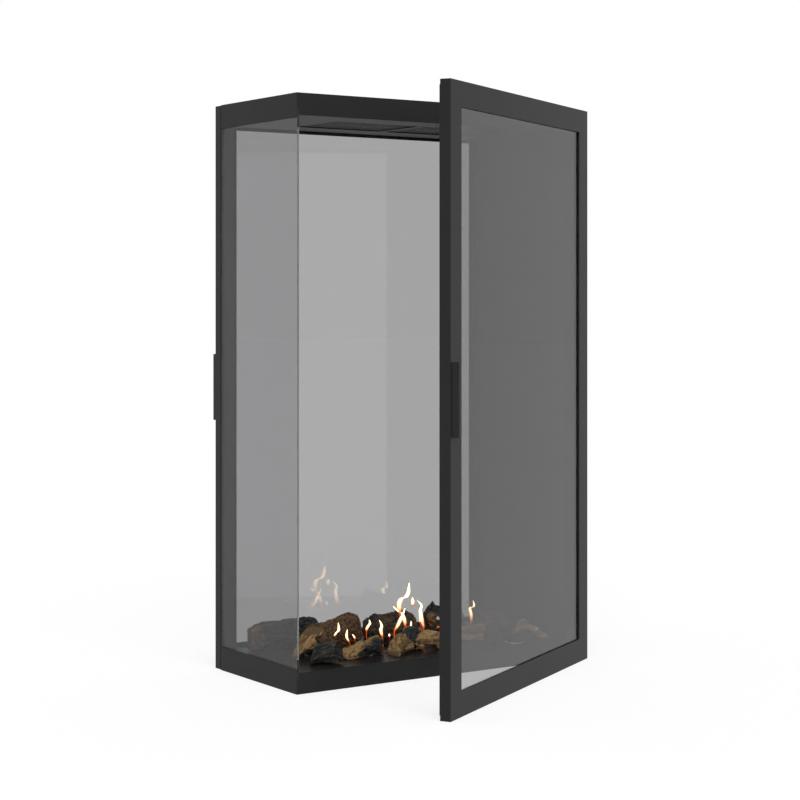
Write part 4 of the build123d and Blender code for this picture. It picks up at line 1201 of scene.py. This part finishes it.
class FIREPLACE_OT_set_stage(bpy.types.Operator):
    """Set up the white floor, the soft lights and the camera"""

    bl_idname = "fireplace.set_stage"
    bl_label = "Set Stage"

    def execute(self, context):
        settings = context.scene.fireplace_studio
        self.add_sky(context.scene, settings)
        self.add_floor(settings)
        self.add_key(settings)
        self.add_camera(context.scene, settings)
        context.scene.view_settings.view_transform = "Standard"
        return {"FINISHED"}

    def add_sky(self, scene, settings):
        """Even light from all round, and white where it is seen."""
        sky = bpy.data.worlds.new("white_studio")
        sky.use_nodes = True
        tree = sky.node_tree
        tree.nodes.clear()
        white = opaque("#ffffff")
        light = add_node(tree, "Background", {"Color": white, "Strength": settings.sky})
        shown = add_node(tree, "Background", {"Color": white, "Strength": 1.0})
        either = add_node(tree, "MixShader", {0: seen(tree), 1: light, 2: shown})
        add_node(tree, "OutputWorld", {"Surface": either})
        scene.world = sky

    def add_floor(self, settings):
        """A floor that reaches beyond what the camera sees."""
        half = 30
        corners = [(-half, -half, 0), (half, -half, 0), (half, half, 0), (-half, half, 0)]
        mesh = mesh_from("floor", corners, [(0, 1, 2, 3)], smooth=False)
        mesh.materials.append(make_material("matt_white_floor", matt_white_floor, settings.floor))
        floor = add_object("floor", mesh)

    def add_key(self, settings):
        """A broad soft light from the upper left front."""
        lamp = bpy.data.lights.new("soft_key", "SUN")
        lamp.energy = settings.key
        lamp.angle = math.radians(50)
        key = add_object("soft_key", lamp)
        towards = Vector((-0.26, -0.68, 0.69))
        key.rotation_euler = towards.to_track_quat("Z", "Y").to_euler()

    def add_camera(self, scene, settings):
        """The camera at the photograph's place, level, with its shift."""
        data = bpy.data.cameras.new("camera")
        data.sensor_width = 36
        data.lens = settings.focal_length
        data.shift_y = settings.shift
        camera = add_object("camera", data)
        camera.location = settings.camera_place
        camera.rotation_euler = (math.radians(90), 0, -settings.camera_turn)
        scene.camera = camera


class VIEW3D_PT_fireplace(bpy.types.Panel):
    """Settings and steps of the fireplace"""

    bl_label = "Fireplace"
    bl_idname = "VIEW3D_PT_fireplace"
    bl_space_type = "VIEW_3D"
    bl_region_type = "UI"
    bl_category = "Fireplace"

    def draw(self, context):
        for settings, steps in PANEL_ROWS:
            box = self.layout.box()
            group = getattr(context.scene, settings)
            for name in group.__annotations__:
                box.prop(group, name)
            for step in steps:
                box.operator(step.bl_idname)


PANEL_ROWS = (
    ("fireplace_steel",
     (FIREPLACE_OT_coat_steel, FIREPLACE_OT_finish_hinges, FIREPLACE_OT_drive_screws)),
    ("fireplace_hearth", (FIREPLACE_OT_enamel_hearth, FIREPLACE_OT_finish_burner)),
    ("fireplace_glass", (FIREPLACE_OT_glaze_panes, FIREPLACE_OT_weave_seals)),
    ("fireplace_logs", (FIREPLACE_OT_lay_logs,)),
    ("fireplace_flames", (FIREPLACE_OT_light_flames, FIREPLACE_OT_scatter_embers)),
    ("fireplace_studio", (FIREPLACE_OT_set_stage,)),
)
SETTINGS = {
    "fireplace_steel": SteelSettings,
    "fireplace_hearth": HearthSettings,
    "fireplace_glass": GlassSettings,
    "fireplace_logs": LogSettings,
    "fireplace_flames": FlameSettings,
    "fireplace_studio": StudioSettings,
}
OPERATORS = [step for _, steps in PANEL_ROWS for step in steps]


def register():
    """Registers the settings, the operators and the panel."""
    for name, group in SETTINGS.items():
        bpy.utils.register_class(group)
        setattr(bpy.types.Scene, name, PointerProperty(type=group))
    for cls in (*OPERATORS, VIEW3D_PT_fireplace):
        bpy.utils.register_class(cls)


def unregister():
    """Takes out what register put in."""
    for cls in (VIEW3D_PT_fireplace, *reversed(OPERATORS)):
        bpy.utils.unregister_class(cls)
    for name, group in SETTINGS.items():
        delattr(bpy.types.Scene, name)
        bpy.utils.unregister_class(group)


def main():
    """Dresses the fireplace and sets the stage."""
    register()
    bpy.ops.fireplace.set_stage()
    bpy.ops.fireplace.coat_steel()
    bpy.ops.fireplace.enamel_hearth()
    bpy.ops.fireplace.glaze_panes()
    bpy.ops.fireplace.finish_burner()
    bpy.ops.fireplace.finish_hinges()
    bpy.ops.fireplace.weave_seals()
    bpy.ops.fireplace.drive_screws()
    bpy.ops.fireplace.lay_logs()
    bpy.ops.fireplace.light_flames()
    bpy.ops.fireplace.scatter_embers()


if __name__ == "__main__":
    main()
